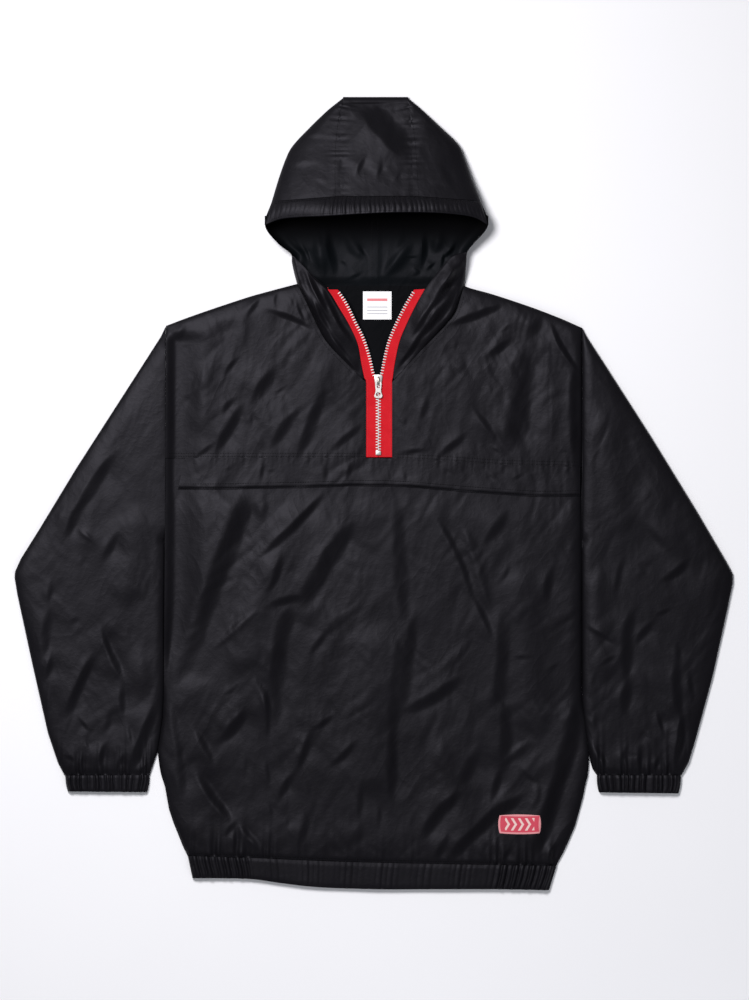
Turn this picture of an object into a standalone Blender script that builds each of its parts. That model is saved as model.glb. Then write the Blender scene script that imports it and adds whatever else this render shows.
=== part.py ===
"""Hooded half-zip pullover laid face up on a flat surface, arms down, hood open.

Scene units are metres, +Z up, +Y from hem to hood. The origin lies on the surface under the middle of
the laid-out garment. Tables and sizes are in millimetres. "Left" and "right" are as seen from above.
Each sewn piece is an open surface with a Solidify wall that grows inward from its outer face.
"""

import math

import bmesh
import bpy
import numpy as np
from mathutils import Vector

# ---------------------------------------------------------------- driving sizes, mm
MM = 0.001
WALL = 1.2  # cloth, turned edges and seam allowances taken together
SEAM = 0.4  # between two pieces that are sewn edge to edge
LAYER = 0.3  # between a piece and the panel that it lies on

EDGE_HEIGHT = 3.1  # outer face of the front where front and back meet
BODY_HEIGHT = 6.0  # outer face of the front between its folds
LOWEST_FRONT = 2.9  # outer face of the front where it presses on the back
SIDE_ROUND = 40.0  # how far in from a side seam the front becomes level
SHOULDER_ROUND = 34.0
ARMHOLE_LIFT = 1.8  # the front's side edge stands this much higher along the armhole
ARMPIT = -55.8  # y of the armpits
SHOULDER_TIP = 199.0  # y of the armholes' upper ends
ARMHOLE_FADE = 25.0  # the lift of the armholes dies away over this length at both ends
ZIP_CALM = (16.0, 41.0)  # the yokes' folds start between these distances from the zip

SLEEVE_HEIGHT = 7.0  # outer face of the sleeves between their folds
SLEEVE_FOLD = 3.2  # height of a sleeve's folded edges
SLEEVE_ROUND = 26.0
SLEEVE_SEAM_ROUND = 22.0  # how far from the armhole a sleeve becomes level
CUFF_EASE = 45.0  # a sleeve comes down to its cuff over this length
CUFF_HEIGHT = 6.6
CUFF_GATHERS = 12
HEM_HEIGHT = 6.6
GATHER_DEPTH = 1.3
HEM_GATHERS_LEFT = 10
HEM_GATHERS_RIGHT = 8
HEM_SMOOTH = (0.18, 0.84)  # the smooth middle of the hem band, in fractions of its width
BRIM_GATHERS = 18
BRIM_GATHERED = (0.2, 0.84)  # the elastic stretch of the brim, in fractions of its length
BRIM_SWELL = 2.5
CROWN_SWELL = 1.5  # the hood's centre panel stands this much over its two seams
HOOD_FOOT = (3.0, 0.45, 0.4)  # run of a hood wall: least, share of its height, most of its width

FLAP_DROP = 1.5  # the lower front sinks this much under the flap's upper edge
FLAP_REACH = (40.0, 60.0)  # and comes up again between these distances from the chest seam
FLAP_LIFT = 1.0  # the flap's free edge stands this much off

ZIP_X = 5.8  # the zip's centre line
ZIP_EDGE_LEFT = -9.0
ZIP_EDGE_RIGHT = 22.2
ZIP_HEIGHT = 5.8  # outer face of the closed tapes
ZIP_END = 43.6
TAPE_SAG = 2.0  # an open tape's toothed edge hangs this much below its sewn edge
STOP_SIZE = (6.8, 5.6, 1.8)
STOP_Y = 46.0
SLIDER_Y = 136.5
SLIDER_SIZE = (11.2, 12.6)
SLIDER_PLATE = 1.2
CROWN_WIDTH = 2.4
CROWN_REACH = (131.2, 139.8)  # the arch on the slider, from its lower to its upper leg
CROWN_BAR = 1.0
CROWN_LEG = 0.8
CROWN_HOLE = 2.1
TAB_PIVOT_Y = 133.1
TAB_LENGTH = 20.0
TAB_WIDTH = 6.8
TAB_THICKNESS = 1.2
TAB_EYE = (3.5, 7.6)  # width, and length from the pivot
TAB_HOLE_RADIUS = 1.3

LABEL_BOX = ((-12.6, 208.8), (21.6, 242.4))
PATCH_BOX = ((149.4, -408.6), (201.0, -384.6))
LABEL_WALL = 1.0

# ---------------------------------------------------------------- outlines, mm
# x and y down each side of the body; a sleeve hides the stretch above its cuff.
SIDE_LEFT = [(-249.0, 201.0), (-249.4, 100.0), (-250.2, -55.8), (-251.4, -235.8), (-253.2, -269.4),
             (-259.0, -309.0), (-257.0, -326.0), (-255.0, -337.2), (-250.2, -351.6), (-245.4, -378.6),
             (-240.0, -394.8), (-234.2, -409.2), (-228.5, -423.6), (-223.0, -434.4), (-221.2, -446.0)]
SIDE_RIGHT = [(250.2, 198.6), (250.2, 100.0), (250.2, -55.8), (250.2, -247.8), (253.8, -280.2),
              (258.6, -313.8), (258.4, -325.2), (257.2, -338.0), (253.8, -351.6), (251.4, -364.2),
              (241.8, -399.0), (232.2, -421.0), (227.6, -430.8), (220.0, -444.6), (219.4, -448.0)]
# shoulder tip to neck point
SHOULDER_LEFT = [(-249.0, 201.0), (-225.0, 210.2), (-190.2, 222.4), (-149.4, 235.8), (-121.8, 243.5),
                 (-91.8, 251.4)]
SHOULDER_RIGHT = [(250.2, 198.6), (223.6, 210.4), (186.8, 224.4), (143.4, 238.8), (116.3, 246.2),
                  (108.6, 249.0)]
# neck point down to the zip
NECK_LEFT = [(-91.8, 251.4), (-82.2, 232.2), (-73.8, 214.2), (-58.2, 184.2), (-34.2, 157.8), (-13.4, 137.0)]
NECK_RIGHT = [(108.6, 249.0), (99.0, 219.0), (88.0, 204.0), (76.2, 191.4), (51.0, 165.0), (25.8, 137.0)]
# from the left side to the right side
CHEST_SEAM = [(-249.6, 42.6), (-91.8, 42.6), (-9.0, 42.6), (24.0, 42.0), (83.4, 39.0), (154.2, 34.2),
              (250.2, 31.8)]
FLAP_TOP = [(-226.2, 42.6), (-91.8, 42.6), (-9.0, 42.6), (24.0, 42.0), (83.4, 39.0), (154.2, 34.2),
            (246.0, 31.8)]
FLAP_EDGE = [(-234.6, 4.8), (-162.6, 5.4), (-57.0, 7.8), (-22.2, 9.0), (30.6, 8.3), (83.4, 4.2),
             (154.2, -1.2), (199.8, -3.7), (245.4, -3.0)]
HEM_SEAM = [(-222.8, -434.4), (-150.0, -436.6), (-75.0, -440.0), (0.0, -442.4), (110.0, -444.6),
            (219.6, -446.4)]
HEM_FREE = [(-217.2, -461.4), (-184.2, -461.4), (-144.6, -462.6), (-109.8, -467.4), (-65.4, -472.2),
            (6.6, -474.6), (69.0, -474.6), (145.8, -474.6), (210.6, -475.8)]
# a sleeve's outer fold from the shoulder tip to the cuff, and its inner fold from the armpit to the cuff
SLEEVE_OUTER_LEFT = [(-250.9, 199.4), (-258.0, 187.4), (-287.3, 138.0), (-356.8, 30.0), (-400.4, -42.0),
                     (-423.0, -78.0), (-430.4, -99.6), (-427.3, -121.2), (-410.2, -200.4), (-390.7, -286.8),
                     (-378.6, -322.8), (-370.6, -337.8)]
SLEEVE_INNER_LEFT = [(-250.6, -56.4), (-251.8, -235.8), (-253.6, -269.4), (-259.4, -309.0), (-257.4, -326.0),
                     (-256.0, -335.4), (-268.6, -337.4)]
SLEEVE_OUTER_RIGHT = [(252.2, 197.2), (258.6, 186.0), (278.8, 152.4), (334.0, 66.0), (387.0, -20.4),
                      (424.9, -85.2), (431.4, -103.0), (423.8, -142.8), (406.2, -222.0), (384.7, -301.2),
                      (378.0, -322.8), (369.6, -337.8)]
SLEEVE_INNER_RIGHT = [(250.6, -56.4), (250.8, -247.8), (254.6, -280.2), (259.5, -313.0), (259.3, -325.0),
                      (258.2, -335.4), (268.2, -337.6)]
# each cuff's corners: outer and inner at the sleeve, then at the hand
CUFF_LEFT = [(-369.0, -338.4), (-268.8, -337.8), (-366.6, -356.4), (-271.8, -357.6)]
CUFF_RIGHT = [(368.4, -338.2), (268.4, -338.2), (365.4, -359.0), (270.6, -357.6)]

# ---------------------------------------------------------------- the hood, mm
# One row for each section from the crown down: the seam with the centre panel on top, the outermost
# point, and the seam with the centre panel on the surface. Below the brim there is no top seam.
# columns: top x, top y, top z, outermost x, y, z, back x, back y
HOOD_LEFT = [
    (-36.6, 467.4, 8.0, -37.0, 474.0, 4.2, -36.6, 467.4),
    (-39.0, 457.8, 11.0, -55.8, 458.9, 4.6, -36.8, 455.4),
    (-40.2, 438.6, 15.5, -77.6, 437.8, 5.6, -39.0, 436.2),
    (-40.8, 417.0, 20.5, -97.0, 416.8, 7.5, -40.2, 415.8),
    (-40.8, 400.2, 25.0, -105.6, 400.2, 9.5, -42.6, 400.2),
    (-40.2, 378.6, 31.0, -114.0, 376.2, 13.5, -45.0, 378.6),
    (-39.0, 355.8, 37.0, -121.8, 349.8, 19.0, -47.4, 357.0),
    (-39.0, 355.8, 37.0, -130.0, 321.0, 25.0, -53.4, 326.0),
    (-39.0, 355.8, 37.0, -114.2, 299.2, 21.0, -52.2, 301.0),
    (-39.0, 355.8, 37.0, -99.4, 287.4, 17.0, -51.0, 287.4),
    (-39.0, 355.8, 37.0, -97.8, 276.8, 13.0, -49.8, 277.0),
    (-39.0, 355.8, 37.0, -95.0, 263.4, 8.0, -48.6, 263.0),
    (-39.0, 355.8, 37.0, -91.8, 251.9, 3.4, -47.4, 249.0),
]
HOOD_RIGHT = [
    (41.4, 467.4, 8.0, 41.6, 474.0, 4.2, 41.4, 467.4),
    (43.8, 457.8, 11.0, 55.4, 462.6, 4.6, 41.6, 455.4),
    (45.0, 438.6, 15.5, 78.6, 441.2, 5.6, 43.4, 436.2),
    (45.8, 417.0, 20.5, 101.4, 418.6, 7.5, 45.0, 415.8),
    (46.2, 400.2, 25.0, 109.8, 400.2, 9.5, 46.6, 400.2),
    (47.0, 378.6, 31.0, 118.2, 376.2, 13.5, 48.6, 378.6),
    (47.4, 355.8, 37.0, 128.2, 350.4, 19.0, 51.0, 357.0),
    (47.4, 355.8, 37.0, 137.2, 321.6, 25.0, 55.8, 326.0),
    (47.4, 355.8, 37.0, 120.4, 299.6, 21.0, 58.0, 301.0),
    (47.4, 355.8, 37.0, 112.6, 289.6, 17.0, 57.6, 287.4),
    (47.4, 355.8, 37.0, 111.4, 277.0, 13.0, 57.2, 277.0),
    (47.4, 355.8, 37.0, 110.2, 261.6, 8.0, 56.6, 263.0),
    (47.4, 355.8, 37.0, 108.6, 249.5, 3.4, 55.8, 249.0),
]
BRIM_ROW = 6  # the casing starts at this section
COLLAR_ROW = 9  # the front edge turns inward at this section
STEPS = 2  # mesh rows between two sections
# The front edge inside the outermost points, from COLLAR_ROW to the zip's top, then down beside the zip.
# columns: x, y, z, how far the cloth bulges over a straight run to the outermost point or neckline
FRONT_EDGE_LEFT = [(-99.4, 287.4, 17.0, 0.0), (-88.2, 277.0, 20.5, 0.5), (-73.8, 261.0, 22.0, 2.0),
                   (-55.4, 244.2, 21.0, 5.0), (-41.0, 221.4, 18.5, 6.0), (-29.0, 201.0, 15.5, 6.0),
                   (-19.4, 179.4, 12.0, 5.0), (-15.0, 155.4, 7.8, 1.5), (-11.4, 138.4, 6.3, 0.0)]
FRONT_EDGE_RIGHT = [(112.6, 289.6, 17.0, 0.0), (94.2, 284.0, 20.5, 0.5), (76.0, 264.0, 22.0, 2.0),
                    (62.0, 244.8, 21.0, 5.0), (52.4, 228.0, 18.5, 6.0), (41.0, 205.0, 15.5, 6.0),
                    (31.4, 181.8, 12.0, 5.0), (25.8, 155.4, 7.8, 1.5), (23.4, 138.4, 6.3, 0.0)]
# crown fold of the centre panel: y and z of its outer face
CROWN_FOLD = [(467.4, 8.0), (472.6, 6.6), (475.6, 4.0), (472.8, 1.2), (467.4, 0.0)]
# brim edge: x, y, z
BRIM_EDGE = [(-130.0, 321.0, 25.6), (-112.2, 328.2, 31.5), (-89.4, 330.6, 37.0), (-57.0, 331.8, 43.0),
             (-16.2, 334.2, 47.0), (25.8, 336.0, 47.5), (66.6, 336.0, 43.0), (96.6, 334.2, 37.5),
             (120.6, 330.4, 31.5), (137.2, 321.6, 25.6)]

# Inner (toothed) edge of each tape above the slider, from the slider to the top: x, y
TAPE_INNER_LEFT = [(4.8, 136.4), (0.6, 144.6), (-4.2, 165.0), (-11.4, 186.6), (-21.0, 205.8), (-31.8, 228.0),
                   (-42.6, 244.2)]
TAPE_INNER_RIGHT = [(6.8, 136.4), (9.0, 144.6), (12.6, 162.6), (17.4, 181.8), (25.8, 202.2), (37.2, 225.0),
                    (48.6, 244.2)]

# ---------------------------------------------------------------- folds, mm
# columns: start x, y, middle x, y, end x, y, half width, height (below zero for a trough)
BODY_FOLDS = [
    (-148, 3, -197, -87, -244, -219, 15, -3.4),
    (-11, -41, -75, -112, -121, -208, 13, -3.4),
    (-121, -205, -118, -238, -113, -273, 11, -2.6),
    (-61, -1, -104, -55, -131, -69, 9, -2.2),
    (25, 3, 31, -56, 39, -112, 13, -2.0),
    (76, -35, 104, -80, 145, -178, 15, -2.8),
    (155, -123, 153, -212, 151, -305, 14, -2.6),
    (232, -5, 238, -92, 242, -177, 12, -2.4),
    (243, -243, 224, -350, 190, -435, 17, -3.2),
    (-153, -251, -170, -273, -187, -295, 10, -2.2),
    (-208, -333, -193, -374, -165, -394, 10, -2.4),
    (-82, -307, -103, -341, -115, -371, 10, -2.0),
    (110, -365, 79, -383, 56, -415, 11, -2.0),
    (-88, -80, -130, -176, -160, -272, 24, 2.4),
    (176, -80, 188, -188, 182, -296, 26, 2.2),
    (32, -150, 32, -260, 26, -372, 46, 2.6),
    (-87, 101, -106, 76, -123, 56, 10, -2.2),
    (-161, 163, -170, 151, -178, 139, 10, -1.8),
    (-65, 116, -80, 82, -94, 47, 9, -2.0),
    (196, 196, 167, 136, 163, 45, 17, -3.2),
    (158, 226, 125, 218, 95, 202, 9, -2.4),
    (117, 103, 134, 76, 154, 50, 10, -1.8),
    (68, 160, 86, 112, 80, 52, 22, 2.2),
    (-150, 130, -190, 100, -200, 60, 24, 1.8),
]
SLEEVE_FOLDS = [
    (-305, 45, -365, -23, -377, -64, 13, -3.0),
    (-334, -193, -352, -231, -369, -271, 11, -2.8),
    (-323, -171, -298, -227, -293, -280, 12, -3.0),
    (-380, -193, -388, -209, -397, -227, 8, -2.2),
    (-356, -263, -345, -286, -337, -310, 9, -2.4),
    (-311, -260, -320, -296, -328, -331, 9, -2.2),
    (-263, -260, -276, -296, -290, -331, 9, -2.2),
    (-310, -40, -330, -110, -320, -160, 24, 2.4),
    (379, -77, 362, -88, 344, -99, 10, -2.4),
    (262, -163, 279, -173, 297, -184, 11, -2.8),
    (352, -140, 314, -163, 303, -249, 13, -3.2),
    (361, -189, 365, -230, 369, -271, 10, -2.4),
    (339, -255, 342, -273, 346, -291, 9, -2.2),
    (300, 20, 330, -40, 360, -60, 22, 2.4),
]


# ---------------------------------------------------------------- curves and fields
def smooth(rows, steps):
    """Catmull-Rom points through the rows, with this many steps from one row to the next."""
    rows = np.array(rows, float)
    ends = np.vstack([2 * rows[0] - rows[1], rows, 2 * rows[-1] - rows[-2]])
    made = []
    for before, start, end, after in zip(ends, ends[1:], ends[2:], ends[3:]):
        for t in np.arange(steps) / steps:
            pull = (end - before) * t + (2 * before - 5 * start + 4 * end - after) * t**2
            made.append(start + (pull + (3 * start - before - 3 * end + after) * t**3) / 2)
    return np.array(made + [rows[-1]])


def along(points, fractions):
    """Points at these fractions of a polyline's length."""
    points = np.array(points, float)
    lengths = np.hypot(*np.diff(points[:, :2], axis=0).T)
    reach = np.concatenate([[0], np.cumsum(lengths)]) / lengths.sum()
    return np.stack([np.interp(fractions, reach, column) for column in points.T], axis=-1)


def through(fractions, points, index):
    """The same fractions of a polyline's length, with the nearest one moved onto one of its points."""
    lengths = np.hypot(*np.diff(np.array(points), axis=0).T)
    place = lengths[:index].sum() / lengths.sum()
    moved = fractions.copy()
    moved[np.argmin(np.abs(fractions - place))] = place
    return moved


def x_on(y, outline):
    """x of an outline whose points run downward."""
    outline = np.array(outline)[::-1]
    return np.interp(y, outline[:, 1], outline[:, 0])


def y_on(x, outline):
    """y of an outline whose points run to the right."""
    outline = np.array(outline)
    return np.interp(x, outline[:, 0], outline[:, 1])


def distance(x, y, path):
    """Distance to a polyline, and the fraction of its segments passed at the nearest point."""
    path = np.array(path, float)
    best = np.full(np.shape(x), np.inf)
    passed = np.zeros(np.shape(x))
    for index, (start, end) in enumerate(zip(path, path[1:])):
        run = end - start
        t = np.clip(((x - start[0]) * run[0] + (y - start[1]) * run[1]) / (run @ run), 0, 1)
        away = np.hypot(x - start[0] - t * run[0], y - start[1] - t * run[1])
        passed = np.where(away < best, (index + t) / (len(path) - 1), passed)
        best = np.minimum(best, away)
    return best, passed


def rise(away, reach):
    """0 at an edge and 1 beyond the reach, along a quarter ellipse."""
    return np.sqrt(1 - (1 - np.clip(away / reach, 0, 1)) ** 2)


def fade(t):
    """0 to 1 with level ends."""
    t = np.clip(t, 0, 1)
    return t * t * (3 - 2 * t)


def folds(x, y, table):
    """Sum of rounded troughs and ridges, each fading out at its two ends."""
    total = np.zeros(np.shape(x))
    turn = np.linspace(0, 1, 9)[:, None]
    for x0, y0, x1, y1, x2, y2, width, height in table:
        start, end = np.array((x0, y0)), np.array((x2, y2))
        pull = 2 * np.array((x1, y1)) - (start + end) / 2
        path = start * (1 - turn) ** 2 + 2 * pull * turn * (1 - turn) + end * turn**2
        away, passed = distance(x, y, path)
        total += height * np.exp(-((away / width) ** 2)) * fade(passed / 0.2) * fade((1 - passed) / 0.2)
    return total


def body_outline_top(x):
    return y_on(x, SHOULDER_LEFT + SHOULDER_RIGHT[::-1])


def armhole_height(y):
    """Height of the side seams, which stand higher along the armholes."""
    lift = fade((y - ARMPIT) / ARMHOLE_FADE) * fade((SHOULDER_TIP - y) / ARMHOLE_FADE)
    return EDGE_HEIGHT + ARMHOLE_LIFT * lift


def front_height(x, y):
    """Outer face of the front over the surface."""
    side = np.minimum(x - x_on(y, SIDE_LEFT), x_on(y, SIDE_RIGHT) - x)
    level = rise(side, SIDE_ROUND) * rise(body_outline_top(x) - y, SHOULDER_ROUND)
    base = armhole_height(y) * (1 - rise(side, SIDE_ROUND)) + EDGE_HEIGHT * rise(side, SIDE_ROUND)
    base = base + (BODY_HEIGHT - EDGE_HEIGHT) * level
    zip_calm = fade((np.abs(x - ZIP_X) - ZIP_CALM[0]) / (ZIP_CALM[1] - ZIP_CALM[0]))
    zip_calm = np.where(y < ZIP_END - ZIP_CALM[1], 1.0, zip_calm)
    folded = base + folds(x, y, BODY_FOLDS) * zip_calm
    return np.maximum(folded, LOWEST_FRONT)


def lower_height(x, y):
    """Outer face of the lower front, which sinks under the flap."""
    below_seam = y_on(x, CHEST_SEAM) - y
    sunk = FLAP_DROP * (1 - fade((below_seam - FLAP_REACH[0]) / (FLAP_REACH[1] - FLAP_REACH[0])))
    return np.maximum(front_height(x, y) - sunk, LOWEST_FRONT)


def between(top, bottom, across, down, left, right):
    """Plan points of a panel: rows from its bottom edge up, columns from its left to its right side."""
    across, down = np.meshgrid(across, down)
    x = across * 0
    for _ in range(3):
        y = y_on(x, bottom) + (y_on(x, top) - y_on(x, bottom)) * down
        x = x_on(y, left) + (x_on(y, right) - x_on(y, left)) * across
    return x, y


def coons(left, right, bottom, top):
    """Plan points between four edges that share their corners; left and right run upward."""
    u = np.linspace(0, 1, len(bottom))[None, :, None]
    v = np.linspace(0, 1, len(left))[:, None, None]
    ruled = left[:, None] * (1 - u) + right[:, None] * u + bottom[None] * (1 - v) + top[None] * v
    low, high = left[0] * (1 - u) + right[0] * u, left[-1] * (1 - u) + right[-1] * u
    return ruled - low * (1 - v) - high * v


# ---------------------------------------------------------------- objects
def make_collection(name):
    collection = bpy.data.collections.new(name)
    bpy.context.scene.collection.children.link(collection)
    return collection


def make_material(name, colour, roughness, metallic=0.0):
    material = bpy.data.materials.new(name)
    material.use_nodes = True
    shader = material.node_tree.nodes["Principled BSDF"]
    shader.inputs["Base Color"].default_value = (*colour, 1)
    shader.inputs["Roughness"].default_value = roughness
    shader.inputs["Metallic"].default_value = metallic
    return material


def add_object(name, data, look, collection):
    """look is the piece's own colour, roughness and metallic value."""
    made = bpy.data.objects.new(name, data)
    data.materials.append(make_material(name, *look))
    collection.objects.link(made)
    return made


def cloth(name, surfaces, look, wall=WALL, flip=False):
    """A sewn piece from grids of points on its outer face; a grid's rows and columns turn to its outside."""
    mesh = bpy.data.meshes.new(name)
    shape = bmesh.new()
    for points in surfaces:
        rows, columns = points.shape[:2]
        grid = bmesh.ops.create_grid(shape, x_segments=columns - 1, y_segments=rows - 1, size=1)
        for vertex, place in zip(grid["verts"], points.reshape(-1, 3)):
            vertex.co = place * MM
    bmesh.ops.remove_doubles(shape, verts=shape.verts, dist=1e-6)
    if flip:
        bmesh.ops.reverse_faces(shape, faces=shape.faces)
    shape.to_mesh(mesh)
    shape.free()
    mesh.shade_smooth()
    piece = add_object(name, mesh, look, GARMENT)
    solidify = piece.modifiers.new("wall", "SOLIDIFY")
    solidify.thickness = wall * MM
    solidify.offset = -1
    solidify.use_even_offset = True
    solidify.thickness_clamp = 1.0
    return piece


def panel(name, x, y, z, look, **options):
    return cloth(name, [np.stack([x, y, z + 0 * x], axis=-1)], look, **options)


def box(name, low, high, collection, look):
    """A box between two corners in millimetres."""
    low, high = np.array(low), np.array(high)
    bpy.ops.mesh.primitive_cube_add(size=1)
    made = bpy.context.object
    made.data.transform(
        [[float(high[i] - low[i]) * MM if i == j else 0.0 for j in range(3)] + [0.0] for i in range(3)]
        + [[0.0, 0.0, 0.0, 1.0]])
    made.location = (low + high) / 2 * MM
    made.name = name
    made.data.materials.append(make_material(name, *look))
    for holder in made.users_collection:
        holder.objects.unlink(made)
    collection.objects.link(made)
    return made


# ---------------------------------------------------------------- the body
def make_back():
    top = SHOULDER_LEFT + [(-47.4, 249.0), (55.8, 249.0)] + SHOULDER_RIGHT[::-1]
    top = [(x, y - 2 * LAYER) for x, y in top]
    bottom = [(x, y + 2 * SEAM) for x, y in HEM_SEAM]
    corners = np.array([x for x, _ in top])
    across = (corners - corners[0]) / (corners[-1] - corners[0])
    x, y = between(top, bottom, across, np.linspace(0, 1, 15), SIDE_LEFT, SIDE_RIGHT)
    panel("back_body", x, y, WALL, NYLON)


def make_yoke(side, shoulder, neck, zip_edge):
    """side is -1 for left. The chest seam is its lower edge and the neckline and zip its inner edge."""
    outline = SIDE_LEFT if side < 0 else SIDE_RIGHT
    gap = SEAM / 2
    neck_points = smooth(neck, STEPS)
    zip_stretch = np.linspace(neck_points[-1], (zip_edge, 0), 7)[1:]
    seam_y = y_on(zip_edge, CHEST_SEAM) + gap
    zip_stretch[:, 1] = np.linspace(neck_points[-1, 1], seam_y, 7)[1:]
    zip_stretch[:, 0] = zip_edge
    inner = np.vstack([neck_points, zip_stretch])[::-1] + (side * gap, 0)
    count = len(inner)
    tip, foot = shoulder[0][1], y_on(side * 249, CHEST_SEAM) + gap
    rows = np.linspace(foot, tip, count)
    outer = np.stack([x_on(rows, outline), rows], axis=-1)
    top = along(shoulder, np.linspace(0, 1, 12))
    outer[-1], inner[-1] = top[0], top[-1]
    seam_x = np.linspace(outer[0, 0], inner[0, 0], 12)
    bottom = np.stack([seam_x, y_on(seam_x, CHEST_SEAM) + gap], axis=-1)
    bottom[0], bottom[-1] = outer[0], inner[0]
    points = coons(outer, inner, bottom, top)
    x, y = points[..., 0], points[..., 1]
    name = "front_yoke_left" if side < 0 else "front_yoke_right"
    panel(name, x, y, front_height(x, y), NYLON, flip=side > 0)


def make_lower_front():
    top = [(x, y - SEAM / 2) for x, y in CHEST_SEAM]
    bottom = [(x, y + SEAM / 2) for x, y in HEM_SEAM]
    even = np.linspace(0, 1, 30)
    across = fade(even) * 0.35 + even * 0.65
    x, y = between(top, bottom, across, np.linspace(0, 1, 24), SIDE_LEFT, SIDE_RIGHT)
    panel("front_lower", x, y, lower_height(x, y), NYLON)


def make_flap():
    """The flap is the lower front's own points, moved out."""
    fractions = np.linspace(0, 1, 31)
    top, free = along(FLAP_TOP, fractions) - (0, SEAM / 2), along(FLAP_EDGE, fractions)
    down = np.linspace(1, 0, 4)[:, None, None]
    points = top * (1 - down) + free * down
    x, y = points[..., 0], points[..., 1]
    lift = FLAP_LIFT * np.broadcast_to(down[..., 0], x.shape)
    panel("pocket_flap", x, y, lower_height(x, y) + WALL + LAYER + lift, NYLON)


def make_label():
    (x0, y0), (x1, y1) = LABEL_BOX
    x, y = np.meshgrid(np.linspace(x0, x1, 3), np.linspace(y0, y1, 3))
    panel("neck_label", x, y, WALL + LAYER + LABEL_WALL, LABEL, wall=LABEL_WALL)


def make_patch():
    (x0, y0), (x1, y1) = PATCH_BOX
    x, y = np.meshgrid(np.linspace(x0, x1, 7), np.linspace(y0, y1, 4))
    panel("hem_patch", x, y, lower_height(x, y) + 2 * LAYER + LABEL_WALL, PATCH, wall=LABEL_WALL)


# ---------------------------------------------------------------- flattened tubes
def tube(name, outer, inner, top_height, fold_height, spread, look):
    """A flattened tube. Each row runs from its inner fold over the top to its outer fold and back
    underneath; top_height(x, y, u) gives the upper face, and the lower one rests on the surface."""
    under = np.array([0.985, 0.75, 0.5, 0.25, 0.015])
    u = np.concatenate([spread, under, [spread[0]]])
    on_top = np.arange(len(u)) < len(spread)
    x = inner[:, :1] + (outer[:, :1] - inner[:, :1]) * u
    y = inner[:, 1:] + (outer[:, 1:] - inner[:, 1:]) * u
    z = np.where(on_top, top_height(x, y, u), 0.0)
    fold = np.isin(np.arange(len(u)), (0, len(spread) - 1, len(u) - 1))
    z = np.where(fold, fold_height(x, y), z)
    on_the_right = outer[-1, 0] > inner[-1, 0]
    return cloth(name, [np.stack([x, y, z], axis=-1)], look, flip=on_the_right)


def make_sleeve(side, outer_line, inner_line):
    rows = np.linspace(0, 1, 22)
    elbow = max(range(len(outer_line)), key=lambda index: abs(outer_line[index][0]))
    outer = along(outer_line, through(rows, outer_line, elbow))
    inner = along(inner_line, through(rows**1.5, inner_line, len(inner_line) - 2))
    armhole = [outer_line[0], inner_line[0]]

    def top_height(x, y, u):
        away_outer, _ = distance(x, y, outer_line)
        away_inner, _ = distance(x, y, inner_line)
        away_seam, _ = distance(x, y, armhole)
        level = rise(away_outer, SLEEVE_ROUND) * rise(away_inner, SLEEVE_ROUND)
        full = SLEEVE_FOLD + (SLEEVE_HEIGHT - SLEEVE_FOLD + folds(x, y, SLEEVE_FOLDS)) * level
        cuff = fade((y - outer_line[-1][1]) / CUFF_EASE)
        full = CUFF_HEIGHT * (1 - cuff) * level + full * cuff + SLEEVE_FOLD * (1 - cuff) * (1 - level)
        shoulder = rise(away_seam, SLEEVE_SEAM_ROUND)
        return armhole_height(y) * (1 - shoulder) + full * shoulder

    def fold_height(x, y):
        return np.full(x.shape, SLEEVE_FOLD)

    spread = (1 - np.cos(np.linspace(0, math.pi, 13))) / 2
    name = "sleeve_left" if side < 0 else "sleeve_right"
    tube(name, outer, inner, top_height, fold_height, spread, NYLON)


def gathered(u, starts):
    """Waves across a gathered edge. starts holds, for each stretch, its two ends in u and its waves."""
    wave = np.zeros(np.shape(u))
    for low, high, waves in starts:
        part = (u - low) / (high - low)
        inside = (part > 0) & (part < 1)
        uneven = part + 0.25 / waves * np.sin(5 * math.pi * part)
        swing = np.cos(2 * math.pi * waves * uneven) * fade(part * 8) * fade((1 - part) * 8)
        wave = np.where(inside, swing, wave)
    return wave


def make_cuff(side, corners):
    down = np.linspace(0, 1, 2)[:, None]
    corners = np.array(corners)
    outer = corners[0] * (1 - down) + corners[2] * down
    inner = corners[1] * (1 - down) + corners[3] * down

    def top_height(x, y, u):
        level = rise(np.minimum(u, 1 - u), 0.16)
        waves = GATHER_DEPTH * gathered(u, [(0.04, 0.96, CUFF_GATHERS)])
        return SLEEVE_FOLD + (CUFF_HEIGHT - SLEEVE_FOLD + waves) * level

    def fold_height(x, y):
        return np.full(x.shape, SLEEVE_FOLD)

    spread = np.linspace(0, 1, 4 * CUFF_GATHERS + 5)
    name = "cuff_left" if side < 0 else "cuff_right"
    tube(name, outer, inner, top_height, fold_height, spread, NYLON)


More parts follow.
